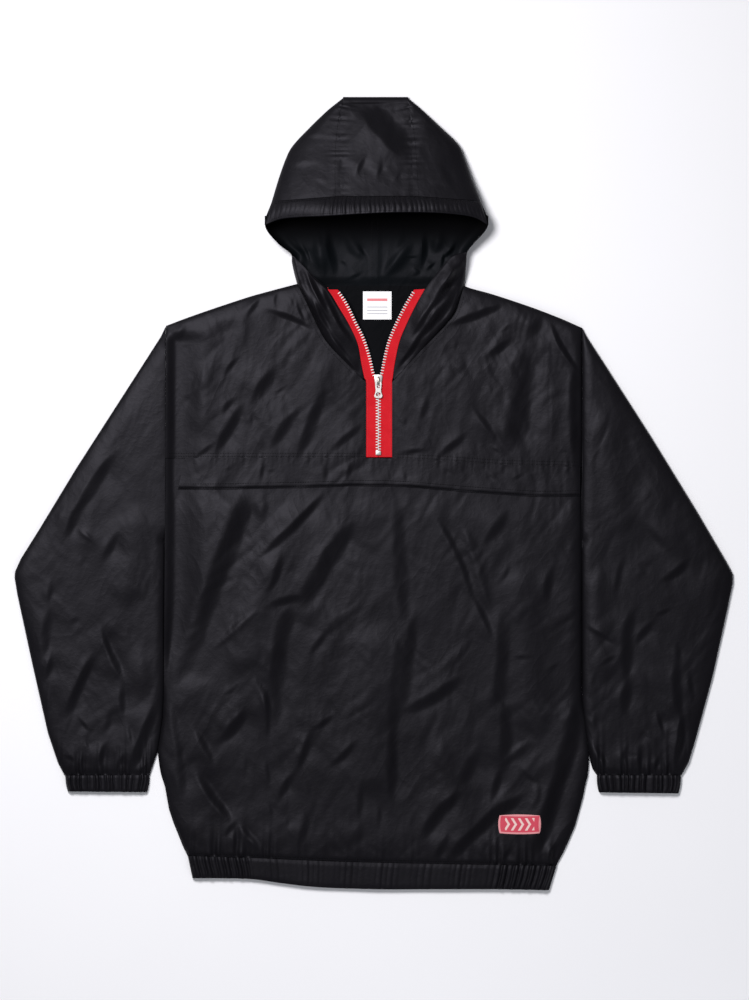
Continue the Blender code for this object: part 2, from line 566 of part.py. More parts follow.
def make_hem():
    left_end, right_start = HEM_SMOOTH
    down = np.linspace(0, 1, 2)[:, None]
    seam, free = np.array(HEM_SEAM) - (0, SEAM / 2), np.array(HEM_FREE)
    spread = np.concatenate([np.linspace(0, left_end, 4 * HEM_GATHERS_LEFT + 2),
                             np.linspace(left_end, right_start, 15)[1:-1],
                             np.linspace(right_start, 1, 4 * HEM_GATHERS_RIGHT + 2)])
    under = np.array([0.995, 0.75, 0.5, 0.25, 0.005])
    u = np.concatenate([spread, under, [0]])
    upper, lower = along(seam, u), along(free, u)
    points = upper[None] * (1 - down[..., None]) + lower[None] * down[..., None]
    ends = [(0.005, left_end, HEM_GATHERS_LEFT), (right_start, 0.995, HEM_GATHERS_RIGHT)]
    waves = GATHER_DEPTH * gathered(u, ends)
    level = rise(np.minimum(u, 1 - u), 0.05)
    top = SLEEVE_FOLD + (HEM_HEIGHT - SLEEVE_FOLD + waves) * level
    count = len(spread)
    z = np.where(np.arange(len(u)) < count, top, 0.0)
    z[[0, count - 1, -1]] = SLEEVE_FOLD
    z = np.broadcast_to(z, points.shape[:2])
    cloth("hem_band", [np.concatenate([points, z[..., None]], axis=-1)], NYLON, flip=True)


# ---------------------------------------------------------------- the hood
def outermost(side):
    """Sections of a side panel as arrays: top seam, outermost point, back seam."""
    table = smooth(HOOD_LEFT if side < 0 else HOOD_RIGHT, STEPS)
    back = np.column_stack([table[:, 6:8], np.zeros(len(table))])
    return table[:, 0:3], table[:, 3:6], back


def arc(start, end, steps, bulge=0.0):
    """A quarter ellipse from each start, where it is level, to each end, where it drops straight down."""
    turn = np.linspace(0, math.pi / 2, steps + 1)[None, :]
    made = start[:, None, :] + (end - start)[:, None, :] * np.sin(turn)[..., None]
    made[..., 2] = end[:, None, 2] + (start - end)[:, None, 2] * np.cos(turn)
    made[..., 2] += np.reshape(bulge, (-1, 1)) * np.sin(2 * turn)
    return made


def make_hood_side(side):
    top, out, back = outermost(side)
    gap = np.array((side * SEAM / 2, 0, 0))
    top, back = top + gap, back + gap
    brim, collar = BRIM_ROW * STEPS, COLLAR_ROW * STEPS
    upper = arc(top[: brim + 1], out[: brim + 1], 6)
    toward = back - out
    toward[:, 2] = 0
    width = np.linalg.norm(toward, axis=1)
    least, share, most = HOOD_FOOT
    inset = np.minimum(most * width, least + share * out[:, 2])
    foot = out + toward * (inset / width)[:, None]
    foot[:, 2] = 0
    turn = np.linspace(0, math.pi / 2, 5)[None, :, None]
    wall = foot[:, None] + (out - foot)[:, None] * np.cos(turn)
    wall[..., 2] = out[:, None, 2] * (1 - np.sin(turn[..., 0]))
    flat = foot[:, None] + (back - foot)[:, None] * np.linspace(0, 1, 4)[None, :, None]
    under = np.concatenate([wall, flat[:, 1:]], axis=1)
    edge = smooth(FRONT_EDGE_LEFT if side < 0 else FRONT_EDGE_RIGHT, STEPS)
    neck = smooth(NECK_LEFT if side < 0 else NECK_RIGHT, STEPS)
    neck = np.column_stack([neck, front_height(neck[:, 0], neck[:, 1])])
    neck[:, 0] -= side * SEAM / 2
    bound = np.concatenate([out[collar:], neck[1:]])
    front = arc(edge[:, :3], bound, 6, edge[:, 3])
    name = "hood_left" if side < 0 else "hood_right"
    cloth(name, [upper, under, front], NYLON, flip=side > 0)


def make_hood_center():
    """From the brim casing over the crown fold and back along the surface to the neck seam."""
    left_top, _, left_back = outermost(-1)
    right_top, _, right_back = outermost(1)
    brim = BRIM_ROW * STEPS
    rows = []
    across = np.linspace(0, 1, 5)[:, None]
    for left, right in zip(left_top[brim::-1], right_top[brim::-1]):
        row = left * (1 - across) + right * across
        row[:, 2] += CROWN_SWELL * np.sin(math.pi * across[:, 0])
        rows.append(row)
    for y, z in CROWN_FOLD[1:-1]:
        row = (left_top[0] + (LAYER, 0, 0)) * (1 - across) + (right_top[0] - (LAYER, 0, 0)) * across
        row[:, 1] = y
        row[:, 2] = z
        rows.append(row)
    for left, right in zip(left_back, right_back):
        rows.append(left * (1 - across) + right * across)
    points = np.array(rows)
    points[:, 0, 0] += SEAM / 2
    points[:, -1, 0] -= SEAM / 2
    cloth("hood_center", [points], NYLON)


def make_casing():
    """Gathered band from the panels' seam to the brim's free edge."""
    left_top, left_out, _ = outermost(-1)
    right_top, right_out, _ = outermost(1)
    brim = BRIM_ROW * STEPS
    left = arc(left_top[brim : brim + 1], left_out[brim : brim + 1], 8)[0][::-1]
    right = arc(right_top[brim : brim + 1], right_out[brim : brim + 1], 8)[0]
    middle = np.linspace(left[-1], right[0], 9)[1:-1]
    middle[:, 2] += CROWN_SWELL * np.sin(math.pi * np.linspace(0, 1, 9)[1:-1])
    seam = np.vstack([left, middle, right])
    free = smooth(BRIM_EDGE, 3)
    low, high = BRIM_GATHERED
    u = np.concatenate([np.linspace(0, low, 8)[:-1], np.linspace(low, high, 4 * BRIM_GATHERS + 1),
                        np.linspace(high, 1, 7)[1:]])
    seam, free = along(seam, u), along(free, u)
    down = np.linspace(0, 1, 3)[:, None, None]
    points = seam * (1 - down) + free * down
    points[..., 1] -= SEAM * (1 - down[..., 0])
    points[..., 2] += (WALL + LAYER) * (1 - fade(np.minimum(u, 1 - u) / 0.06))
    waves = gathered(u, [(low, high, BRIM_GATHERS)])
    points[..., 2] += GATHER_DEPTH * waves * np.sin(math.pi * np.clip(down[..., 0] + 0.1, 0, 1))
    points[..., 2] += BRIM_SWELL * np.sin(math.pi * down[..., 0])
    cloth("hood_casing", [points[::-1]], NYLON)


# ---------------------------------------------------------------- the zip
def make_tape(side):
    """side is -1 for left. Closed below the slider; above it each tape follows the open front edge."""
    edge = smooth((FRONT_EDGE_LEFT if side < 0 else FRONT_EDGE_RIGHT)[3:], STEPS)[::-1, :3]
    gap = 2 * LAYER
    edge[:, 0] -= side * gap
    inner = along(TAPE_INNER_LEFT if side < 0 else TAPE_INNER_RIGHT, np.linspace(0, 1, len(edge)))
    sag = TAPE_SAG * fade(np.linspace(0, 1, len(edge)) * 2)
    inner = np.column_stack([inner, edge[:, 2] - sag])
    zip_edge = ZIP_EDGE_LEFT if side < 0 else ZIP_EDGE_RIGHT
    closed = np.linspace(ZIP_END, edge[0, 1], 5)[:-1]
    level = np.full(len(closed), ZIP_HEIGHT)
    edge_closed = np.column_stack([0 * level + zip_edge - side * gap, closed, level])
    inner_closed = np.column_stack([0 * level + ZIP_X + side * SEAM / 2, closed, level])
    edge[0, 2] = inner[0, 2] = ZIP_HEIGHT
    edge, inner = np.vstack([edge_closed, edge]), np.vstack([inner_closed, inner])
    across = np.linspace(0, 1, 3)[None, :, None]
    points = edge[:, None] * (1 - across) + inner[:, None] * across
    cloth("zip_tape_left" if side < 0 else "zip_tape_right", [points], TAPE, flip=side > 0)


def make_slider():
    """Two plates with the tapes between them, a post where the tapes part, and an arch for the tab."""
    half_width, half_length = SLIDER_SIZE[0] / 2, SLIDER_SIZE[1] / 2
    low = ZIP_HEIGHT - WALL - LAYER - SLIDER_PLATE
    floor, roof = ZIP_HEIGHT - WALL - LAYER, ZIP_HEIGHT + 2 * LAYER
    deck = roof + SLIDER_PLATE
    x0, x1 = ZIP_X - half_width, ZIP_X + half_width
    y0, y1 = SLIDER_Y - half_length, SLIDER_Y + half_length
    slider = box("zip_slider", (x0, y0, roof), (x1, y1, deck), GARMENT, METAL)
    crown = (ZIP_X - CROWN_WIDTH / 2, ZIP_X + CROWN_WIDTH / 2)
    near, far = CROWN_REACH
    arch_low, arch_high = deck + CROWN_HOLE, deck + CROWN_HOLE + CROWN_BAR
    sink = 0.4
    pieces = {
        "slider_lower_plate": ((x0, y0, low), (x1, y1, floor)),
        "slider_post": ((ZIP_X - 1.0, y1 - 2.0, low + sink), (ZIP_X + 1.0, y1 - 0.2, deck - sink)),
        "slider_near_leg": ((crown[0], near, deck - sink), (crown[1], near + CROWN_LEG, arch_high)),
        "slider_far_leg": ((crown[0], far - CROWN_LEG, deck - sink), (crown[1], far, arch_high)),
        "slider_arch": ((crown[0], near + sink, arch_low), (crown[1], far - sink, arch_high)),
    }
    for name, (low_corner, high_corner) in pieces.items():
        helper = box(name, low_corner, high_corner, CUTTERS, METAL)
        helper.hide_render = True
        helper.display_type = "WIRE"
        union = slider.modifiers.new(name, "BOOLEAN")
        union.operation = "UNION"
        union.object = helper
    return deck


def make_pull_tab(deck):
    """A flat tab with an eye round the slider's arch; its origin is on the hinge axis."""
    outline = bpy.data.curves.new("pull_tab", "CURVE")
    outline.dimensions = "2D"
    outline.fill_mode = "BOTH"
    outline.extrude = TAB_THICKNESS / 2 * MM
    bar = TAB_THICKNESS / 2
    half, tip = TAB_WIDTH / 2, TAB_LENGTH
    cut = 1.4
    border = [(-half, bar), (half, bar), (half, -tip + cut), (half - cut, -tip), (-half + cut, -tip),
              (-half, -tip + cut)]
    eye_half, eye_end = TAB_EYE[0] / 2, TAB_EYE[1]
    eye = [(-eye_half, -bar), (-eye_half, -eye_end), (eye_half, -eye_end), (eye_half, -bar)]
    turns = np.linspace(0, 2 * math.pi, 17)[:-1]
    hole_centre = -tip + cut + 2 * TAB_HOLE_RADIUS
    hole = [(TAB_HOLE_RADIUS * math.cos(a), hole_centre + TAB_HOLE_RADIUS * math.sin(a)) for a in turns]
    for ring in (border, eye, hole):
        spline = outline.splines.new("POLY")
        spline.points.add(len(ring) - 1)
        for point, (x, y) in zip(spline.points, ring):
            point.co = (x * MM, y * MM, 0, 1)
        spline.use_cyclic_u = True
    tab = add_object("pull_tab", outline, METAL, GARMENT)
    tab.location = Vector((ZIP_X, TAB_PIVOT_Y, deck + CROWN_HOLE / 2)) * MM


def make_stop():
    """Bottom stop, clamped over both rows of teeth."""
    width, length, height = STOP_SIZE
    low = (ZIP_X - width / 2, STOP_Y, ZIP_HEIGHT + LAYER)
    box("zip_stop", low, (ZIP_X + width / 2, STOP_Y + length, ZIP_HEIGHT + height), GARMENT, METAL)


for old in list(bpy.data.objects):
    bpy.data.objects.remove(old, do_unlink=True)

GARMENT = make_collection("anorak_pullover")
CUTTERS = make_collection("cutters")
NYLON = ((0.012, 0.011, 0.014), 0.5)
TAPE = ((0.62, 0.01, 0.02), 0.7)
LABEL = ((0.85, 0.85, 0.85), 0.8)
PATCH = ((0.75, 0.15, 0.22), 0.8)
METAL = ((0.75, 0.75, 0.76), 0.3, 1.0)

make_back()
make_yoke(-1, SHOULDER_LEFT, NECK_LEFT, ZIP_EDGE_LEFT)
make_yoke(1, SHOULDER_RIGHT, NECK_RIGHT, ZIP_EDGE_RIGHT)
make_lower_front()
make_flap()
make_label()
make_patch()
make_sleeve(-1, SLEEVE_OUTER_LEFT, SLEEVE_INNER_LEFT)
make_sleeve(1, SLEEVE_OUTER_RIGHT, SLEEVE_INNER_RIGHT)
make_cuff(-1, CUFF_LEFT)
make_cuff(1, CUFF_RIGHT)
make_hem()
make_hood_center()
make_hood_side(-1)
make_hood_side(1)
make_casing()
make_tape(-1)
make_tape(1)
make_pull_tab(make_slider())
make_stop()
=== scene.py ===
"""Hooded half-zip nylon pullover, laid face up with its arms down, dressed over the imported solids.

Sizes inside a section are millimetres, x to the right, y from hem to hood and z up from the surface.
"Left" and "right" are as seen from above. Each sewn piece is one thin shell on the form of its solid.
"""

import math

import bmesh
import bpy
import numpy as np
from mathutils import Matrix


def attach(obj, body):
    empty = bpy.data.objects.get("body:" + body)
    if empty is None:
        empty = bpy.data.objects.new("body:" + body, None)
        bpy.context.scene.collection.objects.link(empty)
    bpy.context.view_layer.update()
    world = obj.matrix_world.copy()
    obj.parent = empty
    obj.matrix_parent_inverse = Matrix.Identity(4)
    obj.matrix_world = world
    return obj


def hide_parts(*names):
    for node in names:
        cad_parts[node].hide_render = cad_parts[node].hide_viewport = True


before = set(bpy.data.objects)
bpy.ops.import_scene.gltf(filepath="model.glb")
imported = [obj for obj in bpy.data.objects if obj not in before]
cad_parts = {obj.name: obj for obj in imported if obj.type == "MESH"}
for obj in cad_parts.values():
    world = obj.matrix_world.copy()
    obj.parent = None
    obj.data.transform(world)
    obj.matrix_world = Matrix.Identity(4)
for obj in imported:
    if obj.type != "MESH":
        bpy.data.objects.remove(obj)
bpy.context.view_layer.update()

# ---- Camera, floor and lamps ---------------------------------------------------------------------
# The pullover lies on a plain pale floor under a camera with a long lens that looks straight down.
# A broad lamp hangs high on the upper left. A wide weak one beyond the hem fills the shadows and
# gives no gloss of its own.
MM = 0.001
scene = bpy.context.scene
scene.view_settings.view_transform = "Standard"
VIEW_CENTRE = (1.2, -7.8)
VIEW_HEIGHT = 1200.0
CAMERA_HEIGHT = 10000.0
camera_data = bpy.data.cameras.new("overhead")
camera_data.lens = camera_data.sensor_width * CAMERA_HEIGHT / VIEW_HEIGHT
camera_data.clip_end = 100.0
camera = bpy.data.objects.new("overhead", camera_data)
camera.location = (VIEW_CENTRE[0] * MM, VIEW_CENTRE[1] * MM, CAMERA_HEIGHT * MM)
scene.collection.objects.link(camera)
scene.camera = camera


class Signal:
    """A node's output inside one material's graph; arithmetic on it adds Math nodes."""

    def __init__(self, graph, socket):
        self.graph, self.socket = graph, socket

    def math(self, operation, *others):
        """A Math node on this signal and the others."""
        values = {f"i{n}": value for n, value in enumerate((self, *others))}
        return self.graph.add("Math", {"operation": operation}, **values)

    def __add__(self, other):
        return self.math("ADD", other)

    def __sub__(self, other):
        return self.math("SUBTRACT", other)

    def __rsub__(self, other):
        return (self * -1) + other

    def __mul__(self, other):
        return self.math("MULTIPLY", other)

    def __pow__(self, other):
        return self.math("POWER", other)

    def __abs__(self):
        return self.math("ABSOLUTE")

    __radd__ = __add__
    __rmul__ = __mul__

    def wave(self, pitch):
        """A sine wave, one length for each pitch."""
        return (self * (2 * math.pi / pitch)).math("SINE")

    def step(self, low, high):
        """0 below low, 1 above high, smooth between them."""
        settings = {"interpolation_type": "SMOOTHSTEP"}
        return self.graph.add("MapRange", settings, Value=self, **{"From Min": low, "From Max": high})


class Graph:
    """A material and its nodes. Every node is made by add: its type, its settings, then its inputs."""

    def __init__(self, name, **constants):
        self.material = bpy.data.materials.new(name)
        self.material.use_nodes = True
        self.tree = self.material.node_tree
        self.shader = self.tree.nodes["Principled BSDF"]
        self.give(self.shader, constants)

    def give(self, node, inputs):
        """Sets or links a node's inputs. A key i2 means its third input, and any other is a name."""
        for key, value in inputs.items():
            key = int(key[1:]) if key[0] == "i" and key[1:].isdigit() else key.replace("_", " ")
            socket = node.inputs[key]
            if isinstance(value, Signal):
                self.tree.links.new(value.socket, socket)
            elif isinstance(value, tuple) and len(value) == 3 and socket.type == "RGBA":
                socket.default_value = (*value, 1.0)
            else:
                socket.default_value = value

    def add(self, kind, settings=None, output=0, **inputs):
        """A new node of this kind, as the signal from one of its outputs."""
        node = self.tree.nodes.new("ShaderNode" + kind)
        for key, value in (settings or {}).items():
            setattr(node, key, value)
        self.give(node, inputs)
        return Signal(self, node.outputs[output])

    def finish(self, colour, roughness, normal):
        """The material, once its shader has these three inputs."""
        self.give(self.shader, {"Base Color": colour, "Roughness": roughness, "Normal": normal})
        return self.material

    def mix(self, share, first, second):
        """A colour between first and second."""
        return self.add("Mix", {"data_type": "RGBA"}, 2, i0=share, i6=first, i7=second)

    def bump(self, height, distance, strength=1.0, under=None):
        """A bumped normal from a height of 0 to 1; distance is in millimetres."""
        more = {"Normal": under} if under else {}
        return self.add("Bump", Height=height, Distance=distance * MM, Strength=strength, **more)

    def place(self):
        """The place on the piece, in metres."""
        return self.add("TexCoord", output="Object")

    def parts(self, vector):
        """The x, y and z of a vector."""
        split = self.tree.nodes.new("ShaderNodeSeparateXYZ")
        self.give(split, {"Vector": vector})
        return [Signal(self, socket) for socket in split.outputs]

    def cloth_uv(self):
        """Millimetres along the weft and the warp of the piece's own cut."""
        u, v, _ = self.parts(self.add("UVMap", {"uv_map": "cut"}))
        return u * 1000, v * 1000

    def noise(self, where, scale, detail=3.0, roughness=0.5):
        """Fractal noise from 0 to 1, about scale lumps to a metre."""
        return self.add("TexNoise", Vector=where, Scale=scale, Detail=detail, Roughness=roughness)


FLOOR_HALF = 12000.0
FLOOR_DROP = 0.4  # clear of the cloth's underside
FLOOR_COLOURS = ((0.85, 0.85, 0.88), (0.88, 0.88, 0.91))
floor_look = Graph("floor", Roughness=0.9)
floor_tone = floor_look.noise(floor_look.place(), 3.0)
floor_look.give(floor_look.shader, {"Base Color": floor_look.mix(floor_tone, *FLOOR_COLOURS)})
floor_mesh = bpy.data.meshes.new("floor")
floor_corners = np.array([(-1, -1), (1, -1), (1, 1), (-1, 1)]) * FLOOR_HALF
floor_mesh.from_pydata(np.column_stack([floor_corners, np.full(4, -FLOOR_DROP)]) * MM, [], [(0, 1, 2, 3)])
floor_mesh.materials.append(floor_look.material)
floor = bpy.data.objects.new("floor", floor_mesh)
scene.collection.objects.link(floor)

world = bpy.data.worlds.new("room")
world.use_nodes = True
sky = world.node_tree.nodes["Background"].inputs
sky["Color"].default_value = (0.93, 0.95, 1.0, 1.0)
sky["Strength"].default_value = 0.16
scene.world = world

# columns: name, place in metres, width, watts, colour
LAMPS = [("key", (-0.6, 0.72, 1.85), 0.8, 45.0, (1.0, 0.985, 0.985)),
         ("fill", (0.6, -2.0, 1.2), 1.8, 20.0, (0.95, 0.97, 1.0))]
for name, place, width, watts, colour in LAMPS:
    lamp_data = bpy.data.lights.new(name, "AREA")
    lamp_data.shape = "DISK"
    lamp_data.size, lamp_data.energy, lamp_data.color = width, watts, colour
    lamp = bpy.data.objects.new(name, lamp_data)
    lamp.location = place
    aim = -np.array(place) / np.linalg.norm(place)
    lamp.rotation_euler = (math.acos(-aim[2]), 0.0, math.atan2(aim[1], aim[0]) - math.pi / 2)
    lamp.visible_glossy = name == "key"
    scene.collection.objects.link(lamp)

# ---- The nylon -----------------------------------------------------------------------------------
# A thin plain-woven black nylon, calendered to a low sheen. It is crumpled fine all over, and its
# uncoated inner face is a little greyer and more even. That inner face is also darker, as painted shade
# for the hollow of the hood.
THREAD_PITCH = 0.55
BRIM_SHADE = (0.286, 0.322)  # y in metres over which painted shade darkens the hood's inner face below the brim


def streaks(look, where, angle, size, stretch):
    """Ridges 1 - |2n - 1| of a noise that is drawn out along one direction of the plan."""
    turned = look.add("VectorRotate", {"rotation_type": "Z_AXIS"}, Vector=where, Angle=angle)
    drawn = look.add("VectorMath", {"operation": "MULTIPLY"}, i0=turned, i1=(1.0, 1 / stretch, 1.0))
    return 1 - abs(look.noise(drawn, 1 / (size * MM), 2.0, 0.5) * 2 - 1)


def nylon(name, colour, highlight, roughness, shine, crumple, brim=False):
    """Black taffeta: two sine waves make the weave, ridged noise (1 - |2n - 1|) the fine crumpling.
    The hood's inner face goes matt and black over the 35 mm below the brim: painted shade for the shadow
    under its roof."""
    look = Graph(name, Specular_IOR_Level=shine, Specular_Tint=(0.885, 0.865, 1.0))
    where = look.place()
    tone = look.noise(where, 9.0, 4.0)
    grain = look.noise(where, 55.0, 3.0, 0.6)
    ridges = (1 - abs(grain * 2 - 1)) ** 3
    patches = look.noise(where, 6.0, 1.0).step(0.42, 0.58)
    broad = (streaks(look, where, 0.55, 26.0, 3.5) * patches
             + streaks(look, where, -0.35, 30.0, 3.0) * (1 - patches))
    u, v = look.cloth_uv()
    weave = u.wave(THREAD_PITCH) * v.wave(THREAD_PITCH)
    normal = look.bump(weave * 0.5 + 0.5, 0.02, 0.25)
    normal = look.bump(ridges, 0.17, crumple, normal)
    normal = look.bump(broad ** 2, 0.45, crumple, normal)
    dyed, rough = look.mix(tone.step(0.35, 0.65), colour, highlight), tone * 0.12 + (roughness - 0.06)
    if brim:
        # Painted shade: below the brim the colour falls to near black and the roughness rises, standing
        # in for the roof's shadow.
        painted_brim_shade = look.parts(where)[1].step(*BRIM_SHADE)
        dyed, rough = look.mix(painted_brim_shade, dyed, (0.0003, 0.0003, 0.0004)), rough + painted_brim_shade * 0.4
    return look.finish(dyed, rough, normal)


black_nylon = nylon("black_nylon", (0.0035, 0.0032, 0.0042), (0.0045, 0.0042, 0.0054), 0.5, 0.155, 0.8)
# The inner face: greyer as the uncoated side, and darkened as painted shade for the hood's hollow.
shaded_inner_nylon = nylon("shaded_inner_nylon", (0.0022, 0.0030, 0.0038), (0.0032, 0.0042, 0.0052), 0.55, 0.085, 0.9,
                    brim=True)
# The back's face in the open neck: the same cloth, darkened as painted shade for the hollow under the
# fronts.
neck_shade_nylon = nylon("neck_shade_nylon", (0.0012, 0.0015, 0.0019), (0.0017, 0.0021, 0.0027), 0.6, 0.045, 0.9)

# ---- Front yokes ---------------------------------------------------------------------------------
# Two pieces of nylon from the shoulders down to the chest seam, with the zip between them. They are
# sewn to the sleeves, the hood and the pocket flap, and puckered along the chest seam.
# x and y down each side of the body
SIDE_LEFT = [(-249, 201), (-249.4, 100), (-250.2, -56), (-251.4, -236), (-253.2, -269), (-259, -309),
             (-257, -326), (-255, -337), (-250.2, -351.6), (-245.4, -378.6), (-240, -394.8),
             (-234.2, -409.2), (-228.5, -423.6), (-223, -434.4), (-221.2, -446)]
SIDE_RIGHT = [(250.2, 198.6), (250.2, 100), (250.2, -56), (250.2, -248), (253.8, -280), (258.6, -314),
              (258.4, -325), (257.2, -338), (253.8, -351.6), (251.4, -364), (241.8, -399),
              (232.2, -421), (227.6, -430.8), (220, -444.6), (219.4, -448)]
SHOULDER_LEFT = [(-249, 201), (-225, 210.2), (-190.2, 222.4), (-149.4, 235.8), (-121.8, 243.5),
                 (-91.8, 251.4)]
SHOULDER_RIGHT = [(108.6, 249), (116.3, 246.2), (143.4, 238.8), (186.8, 224.4), (223.6, 210.4),
                  (250.2, 198.6)]
NECK_LEFT = [(-91.8, 251.4), (-82.2, 232.2), (-73.8, 214.2), (-58.2, 184.2), (-34.2, 157.8),
             (-13.4, 137)]
NECK_RIGHT = [(108.6, 249), (99, 219), (88, 204), (76.2, 191.4), (51, 165), (25.8, 137)]
CHEST_SEAM = [(-249.6, 42.6), (-91.8, 42.6), (-9, 42.6), (24, 42), (83.4, 39), (154.2, 34.2),
              (250.2, 31.8)]
HEM_SEAM = [(-222.8, -434.4), (-150, -436.6), (-75, -440), (0, -442.4), (110, -444.6), (219.6, -446.4)]
HANDS = {-1: "left", 1: "right"}
ZIP_X = 5.8
ZIP_EDGES = {-1: -9.0, 1: 22.2}
EDGE_HEIGHT = 2.2  # where front and back meet at a side seam
BODY_HEIGHT = 8.2
LOWEST_FRONT = 2.2
GROOVE = 13.0  # the front slopes down over this strip beside the left sleeve
GROOVE_FALL = 5.4
ROUND_LEFT, ROUND_RIGHT, ROUND_SHOULDER = 26.0, 16.0, 24.0  # strips over which its edges round off
CHEST_PUCKERS = (0.7, 6.0, 5.0)  # height, pitch, reach
HEM_PUCKERS = (3.4, 10.5, 17.0)
HEM_SMOOTH = 110  # half the width in the middle of the hem seam with few puckers
# columns: start x, y, middle x, y, end x, y, height, width on the right and on the left hand, pinch
LOWER_CREASES = [
    (-148, 8, -195, -116, -243, -236, -10.8, 14, 22, 0.2),
    (-128, 6, -131, -20, -134, -47, -3.2, 5, 8, 0), (-54, 6, -91, -34, -138, -78, -4.7, 3, 9, 0.7),
    (-18, -29, -58, -83, -89, -144, -8.6, 11, 18, 0.2),
    (-77, -124, -105, -128, -133, -138, -5.4, 5, 10, 0.3),
    (-89, -124, -112, -182, -118, -287, -6.4, 9, 16, 0),
    (-50, -158, -64, -176, -82, -200, -2.6, 3, 7, 0.5),
    (-111, -61, -116, -98, -134, -125, -3.9, 4, 8, 0.4),
    (-134, -135, -165, -161, -194, -189, 2.6, 4, 5, 0.5),
    (-161, -228, -171, -236, -184, -245, -2.6, 3, 5, 0.3),
    (-150, -209, -133, -236, -122, -278, -3.2, 3, 6, 0.5),
    (-148, -246, -166, -279, -194, -303, -6.4, 6, 12, 0.3), (28, 2, 32, -80, 37, -161, -4.3, 8, 14, 0),
    (72, -23, 105, -82, 118, -133, -3.9, 4, 6, 0.4),
    (109, -113, 125, -133, 148, -185, -3.9, 4, 6, 0.4),
    (106, -32, 128, -104, 142, -147, 2.6, 5, 6, 0.3), (165, -11, 152, -37, 129, -67, -5.4, 7, 10, 0.1),
    (157, -128, 154, -200, 147, -274, -5.6, 5, 20, 0.3),
    (163, -76, 158, -97, 145, -113, -2.6, 3, 5, 0.4),
    (222, -82, 211, -101, 207, -142, -4.3, 5, 10, 0.2),
    (228, -199, 215, -209, 203, -220, -2.6, 4, 6, 0.2),
    (195, -196, 178, -196, 163, -196, -2.1, 3, 5, 0.3),
    (113, -215, 75, -243, 29, -265, -5.6, 7, 12, 0.1),
    (54, -135, 44, -182, 37, -270, -3.9, 6, 12, 0.1),
    (158, -236, 159, -290, 155, -341, -6.4, 7, 18, 0.3),
    (191, -293, 170, -310, 152, -327, 3.2, 5, 6, 0.4),
    (155, -321, 149, -345, 139, -378, -5.4, 5, 9, 0.4),
    (129, -295, 116, -329, 98, -358, -4.3, 8, 12, 0.1),
    (113, -353, 82, -379, 50, -424, -6.4, 7, 12, 0.3),
    (187, -358, 137, -392, 84, -446, -6.4, 7, 12, 0.3),
    (248, -242, 224, -338, 189, -441, -10.8, 12, 14, 0.1),
    (171, -319, 188, -341, 207, -345, -3.2, 4, 6, 0.4),
    (191, -334, 195, -362, 183, -381, 2.1, 3, 4, 0.5), (85, -397, 86, -418, 63, -445, -3.9, 5, 8, 0.3),
    (168, -419, 161, -430, 153, -444, -4.3, 4, 6, 0.4),
    (228, -410, 215, -430, 204, -450, -5.4, 5, 7, 0.4),
    (-220, -272, -202, -303, -189, -335, -5.6, 4, 9, 0.5),
    (-216, -325, -194, -362, -165, -400, -8.6, 7, 10, 0.5),
    (-160, -387, -171, -401, -184, -417, -4.3, 4, 6, 0.4),
    (-167, -387, -152, -406, -128, -433, -5.6, 4, 7, 0.5),
    (-165, -391, -166, -416, -168, -440, -4.3, 3, 4, 0.4),
    (-44, -262, -62, -277, -79, -282, -3.9, 4, 7, 0.4),
    (-73, -273, -81, -305, -94, -340, -4.3, 4, 8, 0.4),
    (-88, -328, -105, -349, -119, -377, -4.7, 5, 8, 0.4),
    (-15, -289, -33, -311, -58, -332, -3.9, 4, 7, 0.5),
    (-8, -331, -16, -362, -16, -403, -3, 4, 7, 0.3), (-3, -365, 7, -383, 5, -410, -2.1, 3, 5, 0.4),
    (-131, -366, -123, -379, -117, -392, -3, 3, 5, 0.4),
    (-101, -379, -103, -394, -108, -407, -2.6, 3, 5, 0.4),
    (-79, -376, -83, -404, -93, -430, -3.9, 7, 10, 0.1),
    (-11, -385, -19, -409, -33, -428, -3.4, 10, 12, 0),
    (-129, -215, -128, -260, -126, -306, -3.2, 3, 6, 0.5),
    (-153, -308, -154, -329, -156, -351, -2.6, 4, 6, 0.2),
    (-130, -309, -127, -334, -124, -362, -2.6, 4, 6, 0.3),
    (-230, -293, -231, -332, -227, -377, -4.7, 8, 10, 0),
    (-242, -238, -238, -284, -228, -330, -3.2, 5, 7, 0.2),
    (35, -161, 27, -236, 21, -299, -3.4, 9, 12, 0), (25, -272, 21, -332, 23, -380, -4.7, 7, 11, 0.1),
    (-88, -8, -134, -116, -165, -224, 4.7, 18, 20, 0),
    (176, -80, 181, -188, 200, -296, 4.7, 20, 22, 0), (8, -152, -4, -272, -2, -368, 4.3, 26, 26, 0),
    (80, -284, 92, -356, 116, -416, 3, 14, 16, 0),
]
